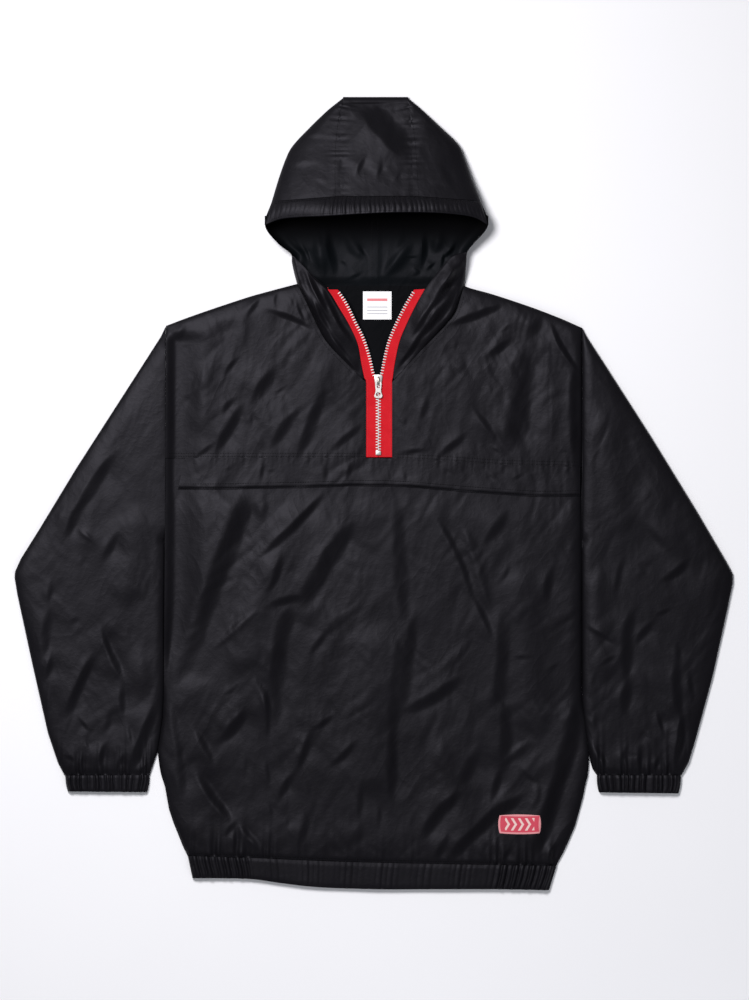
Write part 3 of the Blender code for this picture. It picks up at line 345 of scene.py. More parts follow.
YOKE_CREASES = [
    (-131, 243, -143, 225, -156, 207, -4.7, 4, 8, 0.4),
    (-105, 249, -117, 237, -116, 219, -3.4, 3, 5, 0.4),
    (-68, 194, -100, 211, -135, 222, -5.2, 4, 6, 0.4),
    (-93, 239, -88, 218, -79, 199, -2.6, 2.5, 3, 0.5),
    (-100, 239, -97, 230, -94, 221, -2.1, 2.5, 3, 0.5),
    (-224, 212, -231, 189, -243, 169, -3.4, 5, 8, 0.2),
    (-217, 183, -226, 177, -235, 171, -4.3, 5, 7, 0.3),
    (-208, 131, -223, 116, -242, 102, -4.7, 4, 9, 0.5),
    (-156, 166, -171, 154, -181, 135, -3.4, 3, 7, 0.5),
    (-114, 159, -133, 129, -150, 101, -6, 7, 16, 0.3),
    (-160, 117, -177, 103, -180, 87, -4.3, 6, 8, 0.2),
    (-151, 114, -170, 83, -192, 42, -6.9, 6, 12, 0.3),
    (-144, 100, -146, 88, -147, 77, -2.6, 3, 5, 0.3), (-83, 108, -105, 82, -127, 47, -5.2, 6, 11, 0.1),
    (-58, 131, -75, 83, -95, 36, -5.2, 6, 12, 0.1), (-7, 88, -31, 68, -58, 44, -3.4, 4, 7, 0.3),
    (-185, 67, -205, 49, -223, 41, -3.2, 4, 6, 0.4),
    (-194, 211, -187, 191, -179, 171, -3.2, 14, 18, 0),
    (-155, 230, -157, 199, -159, 169, 2.1, 8, 8, 0),
    (-100, 133, -112, 124, -123, 118, -1.7, 3, 4, 0.4),
    (-202, 160, -208, 112, -213, 64, 3.4, 16, 20, 0), (-52, 170, -64, 136, -88, 112, 2.6, 16, 16, 0),
    (165, 232, 135, 218, 85, 200, -5.6, 4, 9, 0.4), (209, 220, 193, 199, 183, 176, -5.2, 9, 12, 0.1),
    (167, 205, 158, 197, 149, 190, -2.6, 5, 6, 0.1), (174, 189, 154, 177, 128, 159, -3.9, 5, 9, 0.3),
    (211, 211, 226, 176, 252, 139, -5.6, 4, 6, 0.5), (181, 181, 178, 119, 163, 47, -8.6, 17, 22, 0),
    (115, 111, 135, 83, 154, 58, -4.3, 4, 8, 0.4), (138, 58, 147, 52, 156, 46, -3, 3, 5, 0.4),
    (117, 78, 94, 57, 70, 38, -4.3, 4, 8, 0.4), (69, 124, 61, 101, 54, 81, -3.4, 6, 8, 0.1),
    (42, 95, 38, 86, 33, 77, -2.6, 5, 6, 0.1), (69, 52, 49, 51, 25, 47, -3, 3, 5, 0.4),
    (115, 141, 101, 147, 92, 163, -2.1, 5, 6, 0.2), (242, 162, 241, 98, 243, 33, -4.3, 8, 8, 0.1),
    (235, 51, 227, 51, 220, 50, -2.1, 3, 4, 0.3), (98, 189, 99, 178, 96, 167, -2.1, 6, 6, 0.1),
    (139, 135, 141, 124, 143, 115, -1.7, 4, 5, 0), (206, 172, 207, 112, 209, 52, 3.9, 16, 16, 0),
    (80, 172, 104, 124, 116, 88, 2.1, 14, 18, 0),
]
FLAP_CREASES = [
    (-129, 46, -134, 26, -135, 7, -3, 3, 5, 0.4), (-112, 27, -123, 27, -132, 26, -2.1, 2.5, 4, 0.4),
    (-169, 35, -175, 29, -181, 25, -2.6, 2.5, 4, 0.4), (-60, 42, -58, 22, -63, 7, -3.4, 6, 7, 0.1),
    (-30, 43, -29, 27, -37, 9, -3, 4, 6, 0.3), (-200, 42, -201, 37, -202, 30, -2.1, 3, 4, 0.3),
    (-207, 28, -207, 19, -207, 8, -2.6, 5, 6, 0.1), (-225, 23, -230, 16, -234, 10, -2.1, 3, 4, 0.4),
    (82, 34, 91, 26, 95, 19, -3, 2.5, 4, 0.5), (134, 31, 142, 20, 151, 13, -3, 3, 4, 0.5),
    (182, 26, 172, 19, 162, 14, -3, 3, 4, 0.5), (184, 30, 188, 25, 192, 19, -2.1, 2.5, 3, 0.4),
    (35, 34, 37, 22, 38, 7, -2.1, 3, 6, 0.2), (208, 23, 208, 13, 208, 1, -1.7, 4, 4, 0.1),
]


def fade(t):
    """0 to 1 with level ends: 3t^2 - 2t^3."""
    t = np.clip(t, 0, 1)
    return t * t * (3 - 2 * t)


def rise(away, reach):
    """0 at an edge and 1 beyond the reach, along a quarter ellipse."""
    return np.sqrt(1 - (1 - np.clip(away / reach, 0, 1)) ** 2)


def spline(rows, steps=12):
    """Catmull-Rom curve through the rows, with this many steps from one row to the next."""
    rows = np.array(rows, float)
    ends = np.vstack([2 * rows[0] - rows[1], rows, 2 * rows[-1] - rows[-2]])
    t = (np.arange(steps) / steps)[None, :, None]
    before, start, end, after = (ends[n: len(ends) - 3 + n][:, None] for n in range(4))
    curve = start + ((end - before) * t + (2 * before - 5 * start + 4 * end - after) * t**2
                     + (3 * start - before - 3 * end + after) * t**3) / 2
    return np.vstack([curve.reshape(-1, rows.shape[1]), rows[-1:]])


def blend(first, last, share):
    """first * (1 - share) + last * share."""
    return first * (1 - share) + last * share


def raised(plan, z):
    """Plan points (..., xy) at these heights."""
    return np.concatenate([plan, z[..., None]], axis=-1)


def lengths(points):
    """Length passed at each point of a path."""
    return np.concatenate([[0], np.cumsum(np.linalg.norm(np.diff(points, axis=0), axis=1))])


def along(points, fractions):
    """Points at these fractions of a path's length."""
    points = np.array(points, float)
    passed = lengths(points)
    return np.stack([np.interp(fractions, passed / passed[-1], column) for column in points.T], axis=-1)


def at_lengths(points, passed):
    """Points where these lengths of a path have been passed."""
    return np.stack([np.interp(passed, lengths(points), column) for column in points.T], axis=-1)


def beside(x, y, path):
    """Distance to a path, above zero on its left hand, and the length passed at the nearest point."""
    away, side, passed, gone = np.full(x.shape, 1e9), np.zeros(x.shape), np.zeros(x.shape), 0.0
    for start, end in zip(path, path[1:]):
        run = end - start
        length = np.hypot(*run)
        t = np.clip(((x - start[0]) * run[0] + (y - start[1]) * run[1]) / length**2, 0, 1)
        dx, dy = x - start[0] - t * run[0], y - start[1] - t * run[1]
        gap = np.hypot(dx, dy)
        nearer = gap < away
        away = np.where(nearer, gap, away)
        side = np.where(nearer, np.where(run[0] * dy - run[1] * dx < 0, -1.0, 1.0), side)
        passed = np.where(nearer, gone + t * length, passed)
        gone += length
    return away * side, passed


def billows(x, y, seed):
    """Gradient noise about 0: a random slope at each whole x and y, blended by 3t^2 - 2t^3."""
    turns = np.random.default_rng(seed).uniform(0, 2 * math.pi, (64, 64))
    column, row = np.floor(x).astype(int), np.floor(y).astype(int)
    dx, dy = x - column, y - row
    total = np.zeros(x.shape)
    for i in (0, 1):
        for j in (0, 1):
            turn = turns[(column + i) % 64, (row + j) % 64]
            share = (fade(dx) if i else 1 - fade(dx)) * (fade(dy) if j else 1 - fade(dy))
            total += share * (np.cos(turn) * (dx - i) + np.sin(turn) * (dy - j))
    return total


LAMP_SIDE = np.array((-0.6, 0.7))  # where the light comes from in plan
STEEP = 0.62
FOLD_REACH = 3.6  # widths beside a fold's line where its part in the sum ends
SETTLE = 3.2  # half widths over which the cloth levels out beside a drop
SOFT_END, TAPER = 30, 36  # the longest run out at a fold's end, and the longest narrowing towards it


def creased(x, y, table):
    """Sum of folds along curves through three points. A ridge is exp(-t^2) across its line.

    A fold with a height below 0 drops over a narrow band on its line, away from the lamp, or
    towards it if its pinch is below 0. It has a crest, crisper the stronger the pinch, and a soft
    foot; both level out as exp(-t).
    """
    total = np.zeros(x.shape)
    turn = np.linspace(0, 1, 9)[:, None]
    for row in table:
        start, middle, end = np.array(row[:6], float).reshape(3, 2)
        height, right, left, pinch = row[6:]
        bend = 2 * middle - (start + end) / 2
        path = start * (1 - turn)**2 + 2 * bend * turn * (1 - turn) + end * turn**2
        reach = FOLD_REACH * max(right, left)
        near = ((x > path[:, 0].min() - reach) & (x < path[:, 0].max() + reach)
                & (y > path[:, 1].min() - reach) & (y < path[:, 1].max() + reach))
        if not near.any():
            continue
        away, passed = beside(x[near], y[near], path)
        whole, broad = lengths(path)[-1], (right + left) / 2
        from_end = np.clip(np.minimum(passed, whole - passed), 0, whole)
        full = fade(from_end / min(5 + 0.4 * whole, SOFT_END))
        narrow = 0.45 + 0.55 * fade(from_end / min(8 + 0.35 * whole, TAPER))
        if height > 0:
            t = away / narrow / np.where(away > 0, left, right)
            total[near] += 0.6 * height * full * np.exp(-t * t)
            continue
        run = end - start
        if (LAMP_SIDE @ (-run[1], run[0]) > 0) == (pinch >= 0):
            away = -away
        half = (0.5 * broad + 0.4) * narrow * min(1.0, 0.45 + whole / 130)
        away = away + 0.8 * half ** 0.6 * billows(x[near] / 26, y[near] / 26, 30)
        t = np.abs(away) / half
        soft = np.where(t < math.pi / 2, np.sin(np.minimum(t, 2)), np.exp(-(t - math.pi / 2) / SETTLE))
        crisp = np.where(t < 1, t, np.exp(-(t - 1) / SETTLE))
        share = min(1.0, 0.1 + 1.5 * abs(pinch))
        shape = np.where(away < 0, crisp * share + soft * (1 - share), -soft)
        total[near] -= STEEP * height / broad * half * shape * full
    return total


# columns: direction in degrees, size across, length over width, height, seed
CRUMPLE = [(62, 34, 4.5, -1.9, 1), (104, 26, 4.0, 1.3, 2), (50, 17, 4.0, 1.1, 3), (124, 13, 3.0, -0.8, 4),
           (78, 8, 5.0, 0.45, 5)]


def crumpled(x, y, seed=0, share=1.3):
    """Facets with crisp lines between them: |noise| drawn out along one direction, in patches."""
    total = np.zeros(x.shape)
    for degrees, size, stretch, height, own in CRUMPLE:
        turn = math.radians(degrees)
        run, away = x * math.cos(turn) + y * math.sin(turn), y * math.cos(turn) - x * math.sin(turn)
        bent = billows(x / 70, y / 70, own + seed + 50) * 1.2
        fold = billows(run / size / stretch + 20, away / size + bent + 20, own + seed)
        patch = fade(0.5 + 1.6 * billows(x / 60 + 9, y / 60 + 9, own + seed + 90))
        total += height * (np.sqrt(fold * fold + 0.0012) - 0.15) * patch
    return total * share


def puckered(x, y, seam, height, pitch, reach=9.0):
    """Small uneven tucks square to a seam: a sine along it times a slower one, dying away from it."""
    away, passed = beside(x, y, np.array(seam, float))
    phase = 2 * math.pi * passed / pitch
    wave = np.sin(phase + 1.7 * np.sin(phase * 0.23)) * (0.55 + 0.45 * np.sin(phase * 0.31 + 2))
    return height * wave * np.exp(-np.abs(away) / reach) * fade(np.abs(away) / 1.5)


def at_y(y, outline):
    """x of a side outline, whose rows run downward."""
    outline = np.array(outline)[::-1]
    return np.interp(y, outline[:, 1], outline[:, 0])


def at_x(x, outline):
    """y of an outline whose rows run to the right."""
    outline = np.array(outline)
    return np.interp(x, outline[:, 0], outline[:, 1])


def ripple(x, y, size, height):
    """Broad unevenness: two crossed sine waves of different length."""
    bent = np.sin(x / size + 1.3 * np.sin(y / size / 1.7))
    return height * (bent + np.sin(y / size / 1.3 + 0.8 * x / size)) / 2


def body_height(x, y):
    """Outer face of the front: level inside, rounded off at its edges, with all its creases."""
    from_left, from_right = x - at_y(y, SIDE_LEFT), at_y(y, SIDE_RIGHT) - x
    from_shoulder = at_x(x, SHOULDER_LEFT + SHOULDER_RIGHT) - y
    groove = GROOVE * (0.25 + 0.75 * fade((y + 245) / 130))
    beside_sleeve = fade((y + 260) / 100) * fade((197 - y) / 16)
    level = (beside_sleeve * fade((from_left - 0.8 * groove) / 40)
             + (1 - beside_sleeve) * rise(from_left, ROUND_LEFT))
    level = level * rise(from_right, ROUND_RIGHT) * rise(from_shoulder, ROUND_SHOULDER)
    fall = GROOVE_FALL * beside_sleeve * (1 - fade(from_left / groove))
    from_hem = y - at_x(x, HEM_SEAM)
    by_zip = np.exp(-((x - ZIP_X) / 34.0) ** 2) * fade((y - 5) / 30)
    above_hem = np.exp(-((from_hem - 26) / 20) ** 2)
    top = BODY_HEIGHT + ripple(x, y, 46.0, 0.6) - 2.0 * by_zip + 1.6 * above_hem
    calm = 1 - fade((24 - np.abs(x - ZIP_X)) / 12) * fade((y - 40) / 6)
    folds = (creased(x, y, LOWER_CREASES + YOKE_CREASES + FLAP_CREASES) + crumpled(x, y)) * calm
    gathered = 0.2 + 0.8 * fade((np.abs(x - 8) - HEM_SMOOTH) / 40)
    folds = (folds + puckered(x, y, CHEST_SEAM, *CHEST_PUCKERS) * calm
             + puckered(x, y, HEM_SEAM, *HEM_PUCKERS) * gathered)
    folds = folds - 1.6 * np.exp(-(from_hem / 3.0) ** 2)
    height = EDGE_HEIGHT + fall + (top - EDGE_HEIGHT + folds) * level
    over = height - LOWEST_FRONT
    return LOWEST_FRONT + (over + np.sqrt(over * over + 0.8)) / 2


def surface_mesh(name, grids, turned=False):
    """One mesh from grids of points (rows, columns, xyz). Points that coincide are merged. The layer
    "cut" holds the metres passed along each grid's rows and columns. Rows up and columns right face up.
    Its borders are sharp, so that the shading stays level up to a seam."""
    points, corners, cut, first = [], [], [], 0
    for grid in grids:
        rows, columns = grid.shape[:2]
        quads = (np.arange(rows - 1)[:, None] * columns + np.arange(columns - 1)).reshape(-1, 1)
        quads = quads + np.array([0, columns, columns + 1, 1] if turned else [0, 1, columns + 1, columns])
        steps = [np.linalg.norm(np.diff(grid, axis=n), axis=2) for n in (1, 0)]
        u = np.pad(np.cumsum(steps[0], axis=1), ((0, 0), (1, 0)))
        v = np.pad(np.cumsum(steps[1], axis=0), ((1, 0), (0, 0)))
        cut.append(np.stack([u, v], axis=-1).reshape(-1, 2)[quads.ravel()] * MM)
        points.append(grid.reshape(-1, 3) * MM)
        corners.append(quads + first)
        first += rows * columns
    points, corners = np.concatenate(points), np.concatenate(corners)
    mesh = bpy.data.meshes.new(name)
    mesh.vertices.add(len(points))
    mesh.vertices.foreach_set("co", points.ravel())
    mesh.loops.add(corners.size)
    mesh.loops.foreach_set("vertex_index", corners.ravel())
    mesh.polygons.add(len(corners))
    mesh.polygons.foreach_set("loop_start", np.arange(len(corners)) * 4)
    mesh.update(calc_edges=True)
    mesh.uv_layers.new(name="cut").data.foreach_set("uv", np.concatenate(cut).ravel())
    shape = bmesh.new()
    shape.from_mesh(mesh)
    bmesh.ops.remove_doubles(shape, verts=shape.verts, dist=0.02 * MM)
    for edge in shape.edges:
        edge.smooth = not edge.is_boundary
    shape.to_mesh(mesh)
    shape.free()
    mesh.shade_smooth()
    return mesh


def add_piece(name, mesh, materials, body="garment", stands_for=()):
    """A finished piece: its materials, the body that it rides on and the solids that it stands for."""
    piece = bpy.data.objects.new(name, mesh)
    scene.collection.objects.link(piece)
    for material in materials:
        mesh.materials.append(material)
    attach(piece, body)
    if stands_for:
        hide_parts(*stands_for)
    return piece


CLOTH = 0.5


def sew(node, grids, turned=False, wall=CLOTH,
        materials=(black_nylon, shaded_inner_nylon)):
    """A piece of cloth laid out: its outer face from grids, its wall inward, its flat cut in metres."""
    name = node + "_cloth"
    piece = add_piece(name, surface_mesh(name, grids, turned), materials, stands_for=[node])
    shell = piece.modifiers.new("wall", "SOLIDIFY")
    shell.thickness = wall * MM
    shell.offset = -1
    shell.material_offset = len(materials) - 1
    return piece


def coons(left, right, bottom, top):
    """Points between four edges that share their corners; left and right run upward."""
    u = np.linspace(0, 1, len(bottom))[None, :, None]
    v = np.linspace(0, 1, len(left))[:, None, None]
    ruled = left[:, None] * (1 - u) + right[:, None] * u + bottom[None] * (1 - v) + top[None] * v
    return ruled - (left[0] * (1 - u) * (1 - v) + right[0] * u * (1 - v)
                    + left[-1] * (1 - u) * v + right[-1] * u * v)


def on_body(plan, lift=0.0):
    """Plan points raised to the front's outer face."""
    return raised(plan, body_height(plan[..., 0], plan[..., 1]) + lift)


SEAM_GAP = 0.03
YOKE_ROWS, YOKE_COLUMNS = 116, 124
TAPE_CLOSED_Y = 134.0  # the yokes' edges run straight down the zip from here
NECKS = {-1: NECK_LEFT, 1: NECK_RIGHT}
for side, shoulder, outline in ((-1, SHOULDER_LEFT, SIDE_LEFT), (1, SHOULDER_RIGHT[::-1], SIDE_RIGHT)):
    zip_edge = ZIP_EDGES[side]
    foot = at_x(zip_edge, CHEST_SEAM) + SEAM_GAP
    inner = np.vstack([spline(NECKS[side]), (zip_edge, TAPE_CLOSED_Y), (zip_edge, foot)])[::-1]
    inner = along(inner, np.linspace(0, 1, YOKE_ROWS))
    tip = shoulder[0][1]
    outer_y = np.linspace(at_x(side * 249, CHEST_SEAM) + SEAM_GAP, tip, YOKE_ROWS)
    outer = np.stack([at_y(outer_y, outline), outer_y], axis=-1)
    top = along(spline(shoulder), np.linspace(0, 1, YOKE_COLUMNS))
    seam_x = np.linspace(outer[0, 0], inner[0, 0], YOKE_COLUMNS)
    bottom = np.stack([seam_x, at_x(seam_x, CHEST_SEAM) + SEAM_GAP], axis=-1)
    inner[-1], outer[-1], bottom[0], bottom[-1] = top[-1], top[0], outer[0], inner[0]
    sew(f"front_yoke_{HANDS[side]}", [on_body(coons(outer, inner, bottom, top))],
        turned=side > 0)

# ---- Lower front ---------------------------------------------------------------------------------
# The large front panel from the chest seam down to the hem band. Its top end is the pocket mouth
# and lies under the flap; it blouses a little over the gathered hem.
FLAP_SINK = 1.8


def lower_height(x, y):
    """The front's height, sunk under the flap."""
    below_seam = at_x(x, CHEST_SEAM) - y
    sink = FLAP_SINK * (1 - fade((below_seam - 34) / 36))
    return np.maximum(body_height(x, y) - sink, LOWEST_FRONT - 0.6)


def between(top, bottom, across, up):
    """Plan points of a panel, rows from its bottom edge up, columns from the left to the right side."""
    across, up = np.meshgrid(across, up)
    x = across * 500 - 250
    for _ in range(4):
        y = at_x(x, bottom) + (at_x(x, top) - at_x(x, bottom)) * up
        x = at_y(y, SIDE_LEFT) + (at_y(y, SIDE_RIGHT) - at_y(y, SIDE_LEFT)) * across
    return np.stack([x, y], axis=-1)


LOWER_ROWS, LOWER_COLUMNS = 210, 212
plan = between([(x, y - SEAM_GAP) for x, y in CHEST_SEAM], HEM_SEAM, np.linspace(0, 1, LOWER_COLUMNS),
               np.linspace(0, 1, LOWER_ROWS))
sew("front_lower", [raised(plan, lower_height(plan[..., 0], plan[..., 1]))])

# ---- Pocket flap ---------------------------------------------------------------------------------
# A straight band caught in the chest seam that covers the pocket mouth. Its free edge is turned,
# stitched and stands a little off the panel below.
FLAP_TOP = [(-226.2, 42.6), (-91.8, 42.6), (-9, 42.6), (24, 42), (83.4, 39), (154.2, 34.2), (248, 31.8)]
FLAP_EDGE = [(-234.6, 4.8), (-162.6, 5.4), (-57, 7.8), (-22.2, 9), (30.6, 8.3), (83.4, 4.2),
             (154.2, -1.2), (199.8, -3.7), (248, -3)]
FLAP_WALL = 1.0
FLAP_LIFT = 1.5
across = np.linspace(0, 1, 236)
flap_top, flap_edge = along(FLAP_TOP, across) - (0, SEAM_GAP), along(spline(FLAP_EDGE), across)
up = np.linspace(0, 1, 26)[:, None] ** 1.5
flap_points = on_body(blend(flap_edge[None], flap_top[None], up[..., None]))
uneven = 0.62 + 0.3 * np.sin(across * 31 + 1.5) + 0.2 * np.sin(across * 77)
flap_points[..., 2] += FLAP_LIFT * uneven * (1 - up) ** 2 - 2.2 * uneven * np.exp(-(up * 38 / 2.2) ** 2)
sew("pocket_flap", [flap_points], wall=FLAP_WALL)

# ---- Back ----------------------------------------------------------------------------------------
# The whole back in one panel, which lies flat on the surface. It shows through the open neck.
BACK_WALL = 1.0
BACK_STEPS = 150
neck_line = [(-47.4, 249), (55.8, 249)]
back_top = [(x, y + 0.1) for x, y in SHOULDER_LEFT + neck_line + SHOULDER_RIGHT]
back_bottom = [(x, y + 0.8) for x, y in HEM_SEAM]
corners = np.array([x for x, _ in back_top])
across = np.interp(np.linspace(0, len(corners) - 1, BACK_STEPS), np.arange(len(corners)),
                   (corners - corners[0]) / (corners[-1] - corners[0]))
plan = between(back_top, back_bottom, across, np.linspace(0, 1, BACK_STEPS))
in_neck = np.exp(-((plan[..., 0] - 5) / 60) ** 2) * fade((plan[..., 1] - 60) / 60)
soft = 0.5 * in_neck * (1 + np.sin(plan[..., 0] / 7 + 0.02 * plan[..., 1]) * np.sin(plan[..., 1] / 37))
# Its face in the open neck takes the darker nylon, as painted shade.
sew("back_body", [raised(plan, BACK_WALL + 0.1 + soft)],
    wall=BACK_WALL, materials=(neck_shade_nylon, black_nylon))

# ---- Sleeves -------------------------------------------------------------------------------------
# One panel each, folded down the outside and closed under the arm. They lie flat, creased from the
# elbow down and bunched where the cuffs take them in.
SLEEVE_OUTER = {
    -1: [(-249.6, 199.8), (-255, 188.4), (-287.3, 138), (-356.8, 30), (-400.4, -42), (-423, -78),
         (-430.2, -94), (-430.6, -101), (-427.3, -121.2), (-410.2, -200.4), (-390.7, -286.8),
         (-378.6, -322.8), (-370.6, -337.8)],
    1: [(250.6, 198), (255.4, 188.4), (278.8, 152.4), (334, 66), (387, -20.4), (424.9, -85.2),
        (431, -97), (431.2, -107), (423.8, -142.8), (406.2, -222), (384.7, -301.2), (378, -322.8),
        (369.6, -337.8)]}
SLEEVE_INNER = {
    -1: [(-250.4, -56.4), (-251.6, -235.8), (-253.4, -269.4), (-259.3, -309), (-260.3, -312.5),
         (-262.8, -320), (-265.6, -329), (-268.6, -337.6)],
    1: [(250.4, -56.4), (250.6, -247.8), (254.2, -280.2), (259.2, -315), (260.5, -322), (263, -330.6),
        (268.2, -337.8)]}
SLEEVE_CREASES = [
    (-305, 52, -340, 4, -374, -62, -6.9, 12, 7, 0.3),
    (-359, -39, -345, -50, -329, -62, 2.1, 3, 3, 0.5),
    (-299, -38, -314, -61, -328, -89, -5.6, 7, 11, 0.2),
    (-387, -92, -388, -118, -395, -142, -3.4, 5, 8, 0.3),
    (-384, -126, -391, -155, -397, -208, -4.7, 7, 11, 0.1),
    (-350, -143, -359, -152, -367, -160, -3, 6, 8, 0.1),
    (-345, -70, -349, -82, -353, -94, -2.1, 3, 5, 0.4),
    (-327, -153, -321, -176, -312, -204, -5.6, 5, 8, 0.4),
    (-296, -159, -293, -169, -290, -179, -2.1, 4, 5, 0.2),
    (-385, -182, -388, -205, -399, -234, -5.6, 7, 8, 0.4),
    (-331, -183, -351, -227, -374, -279, -6.9, 7, 10, 0.3),
    (-323, -173, -309, -205, -297, -231, -6.4, 6, 8, 0.4),
    (-300, -218, -301, -249, -298, -278, -5.2, 6, 7, 0.3),
    (-299, -267, -292, -286, -289, -313, -3, 3, 4, 0.5),
    (-358, -263, -346, -278, -334, -289, -3.9, 3, 4, 0.5),
    (-346, -290, -343, -301, -338, -311, -4.7, 4, 5, 0.5),
    (-310, -251, -319, -274, -324, -299, -3.4, 6, 8, 0.1),
    (-313, -293, -326, -311, -331, -339, -6.4, 5, 7, 0.5),
    (-258, -247, -274, -286, -295, -342, -8.6, 8, 10, 0.3),
    (-346, -308, -350, -320, -350, -339, -5.2, 3, 5, 0.5),
    (-293, -308, -303, -320, -310, -339, -5.2, 4, 5, 0.5),
    (-353, -327, -365, -316, -378, -318, -3, 3, 4, 0.4),
    (-387, -218, -388, -248, -390, -278, -2.6, 4, 5, 0.2),
    (-266, -320, -275, -329, -286, -337, -4.3, 4, 5, 0.4),
    (-310, -296, -308, -307, -305, -319, -2.6, 2, 3, 0.5),
    (-284, -8, -292, -80, -304, -140, 4.3, 18, 20, 0), (-328, 28, -343, -32, -347, -80, 3, 12, 14, 0),
    (-280, -176, -279, -224, -277, -248, 3.4, 12, 12, 0),
    (314, -29, 338, -51, 360, -77, -4.3, 8, 10, 0.1), (383, -71, 367, -91, 339, -108, -5.2, 5, 9, 0.4),
    (314, -80, 322, -92, 331, -104, -3, 7, 8, 0.1), (305, -69, 295, -94, 289, -132, -2.6, 4, 6, 0.3),
    (250, -156, 274, -170, 299, -185, -4.7, 4, 7, 0.4),
    (360, -136, 346, -143, 335, -147, -3.4, 5, 7, 0.3),
    (341, -147, 321, -171, 309, -190, -4.3, 5, 8, 0.3),
    (315, -131, 304, -170, 303, -234, -6.4, 9, 12, 0.2),
    (294, -191, 280, -201, 269, -208, -3.9, 4, 7, 0.3),
    (364, -174, 365, -193, 366, -210, -3, 5, 7, 0.2),
    (305, -212, 303, -241, 297, -274, -6.4, 8, 12, 0.2),
    (365, -190, 364, -237, 370, -278, -5.2, 7, 9, 0.2),
    (370, -257, 368, -293, 359, -330, -7.3, 5, 8, 0.4),
    (380, -204, 380, -230, 385, -257, -3, 4, 6, 0.2),
    (326, -247, 326, -255, 326, -263, -2.1, 3, 4, 0.3),
    (339, -254, 344, -277, 350, -296, -3.9, 3, 4, 0.5),
    (319, -281, 328, -290, 337, -298, -2.6, 3, 4, 0.4),
    (309, -299, 301, -313, 308, -332, -5.2, 4, 6, 0.5),
    (320, -300, 319, -317, 321, -338, -4.3, 4, 5, 0.4),
    (345, -309, 340, -322, 333, -340, -6, 4, 5, 0.5),
    (262, -286, 272, -314, 288, -341, -5.6, 5, 7, 0.4),
    (254, -283, 263, -310, 273, -333, 2.6, 4, 4, 0.3),
    (360, -319, 353, -327, 346, -336, -4.3, 4, 5, 0.4),
    (266, -257, 266, -274, 264, -290, -2.6, 5, 6, 0.1),
    (277, -324, 284, -331, 291, -338, -3.9, 3, 4, 0.5), (272, 112, 286, 28, 298, -56, 3.4, 16, 20, 0),
    (332, 28, 344, -32, 380, -80, 3.4, 16, 18, 0), (272, -80, 267, -152, 277, -236, 3, 10, 12, 0),
]
SLEEVE_HEIGHT = 9.2
SLEEVE_FOLD = 3.2  # height of the folds along its two sides
SLEEVE_LOOSE = {-1: 6.6, 1: 1.6}  # how far the armhole seam stands over the body's edge
CUFF_SEAM_Y = -338.0
CUFF_PUCKERS = (2.8, 8.5, 15.0)


def sleeve_height(x, y, side):
    """Upper face of a sleeve: rounded along both folds, lower at the armhole and the cuff."""
    outer, inner = np.array(SLEEVE_OUTER[side], float), np.array(SLEEVE_INNER[side], float)
    from_outer, from_inner = np.abs(beside(x, y, outer)[0]), np.abs(beside(x, y, inner)[0])
    from_armhole = np.abs(beside(x, y, np.array([outer[0], inner[0]]))[0])
    level = rise(from_outer, 24.0) * rise(from_inner, 12.0)
    above_cuff = y - CUFF_SEAM_Y
    top = SLEEVE_HEIGHT + ripple(x, y, 38.0, 0.6) + 1.2 * np.exp(-((above_cuff - 24) / 18) ** 2)
    seam = [(x0, CUFF_SEAM_Y) for x0 in (side * 380, side * 260)]
    folds = creased(x, y, SLEEVE_CREASES) + crumpled(x, y, 7, 0.9) + puckered(x, y, seam, *CUFF_PUCKERS)
    folds = folds - 2.4 * np.exp(-(above_cuff / 5.0) ** 2)
    height = SLEEVE_FOLD + (top - SLEEVE_FOLD + folds) * level
    seam_height = EDGE_HEIGHT + SLEEVE_LOOSE[side] * fade((y + 62) / 25) * fade((200 - y) / 18)
    shoulder = rise(from_armhole, 14.0)
    return seam_height * (1 - shoulder) + np.maximum(height, LOWEST_FRONT) * shoulder


def underside(from_fold):
    """Height of a tube's lower face: flat on the surface, and rounded up to the fold beside it."""
    return SLEEVE_FOLD * (1 - rise(from_fold, 3.5))


def flat_tube(outer, inner, top_height, top_steps=84, under_steps=28):
    """Rows from the inner fold over the top to the outer fold and back underneath, flat below."""
    over = (1 - np.cos(np.linspace(0, math.pi, top_steps))) / 2 * 0.5 + np.linspace(0, 1, top_steps) * 0.5
    under = (1 - np.cos(np.linspace(math.pi, 0, under_steps))) / 2
    u = np.concatenate([over, under[1:]])[None, :, None]
    plan = blend(inner[:, None], outer[:, None], u)
    x, y = plan[..., 0], plan[..., 1]
    width = np.linalg.norm(outer - inner, axis=1)[:, None]
    from_fold = np.minimum(u[..., 0], 1 - u[..., 0]) * width
    z = np.where(np.arange(u.size) < top_steps, top_height(x, y), underside(from_fold))
    z[:, [0, top_steps - 1, -1]] = SLEEVE_FOLD
    return raised(plan, z)


SLEEVE_ROWS = 230
for side in (-1, 1):
    rows = np.linspace(0, 1, SLEEVE_ROWS)
    outer = along(SLEEVE_OUTER[side], rows)
    inner = along(SLEEVE_INNER[side], rows**1.5) - (side * 0.35, 0)
    tube = flat_tube(outer, inner, lambda x, y: sleeve_height(x, y, side))
    sew(f"sleeve_{HANDS[side]}", [tube], turned=side > 0)

# ---- Cuffs ---------------------------------------------------------------------------------------
# A doubled band round each wrist with elastic inside, drawn up into uneven tucks and stitched
# along both edges.
CUFFS = {-1: [(-369.6, -338.2), (-268.4, -337.6), (-366.6, -357.4), (-271.4, -358.2)],
         1: [(368.8, -338), (268, -338), (365.8, -359.8), (270.2, -358.4)]}
CUFF_HEIGHT = 7.6
CUFF_TUCKS, CUFF_DEPTH = 15, 3.4
BAND_ROWS = 18


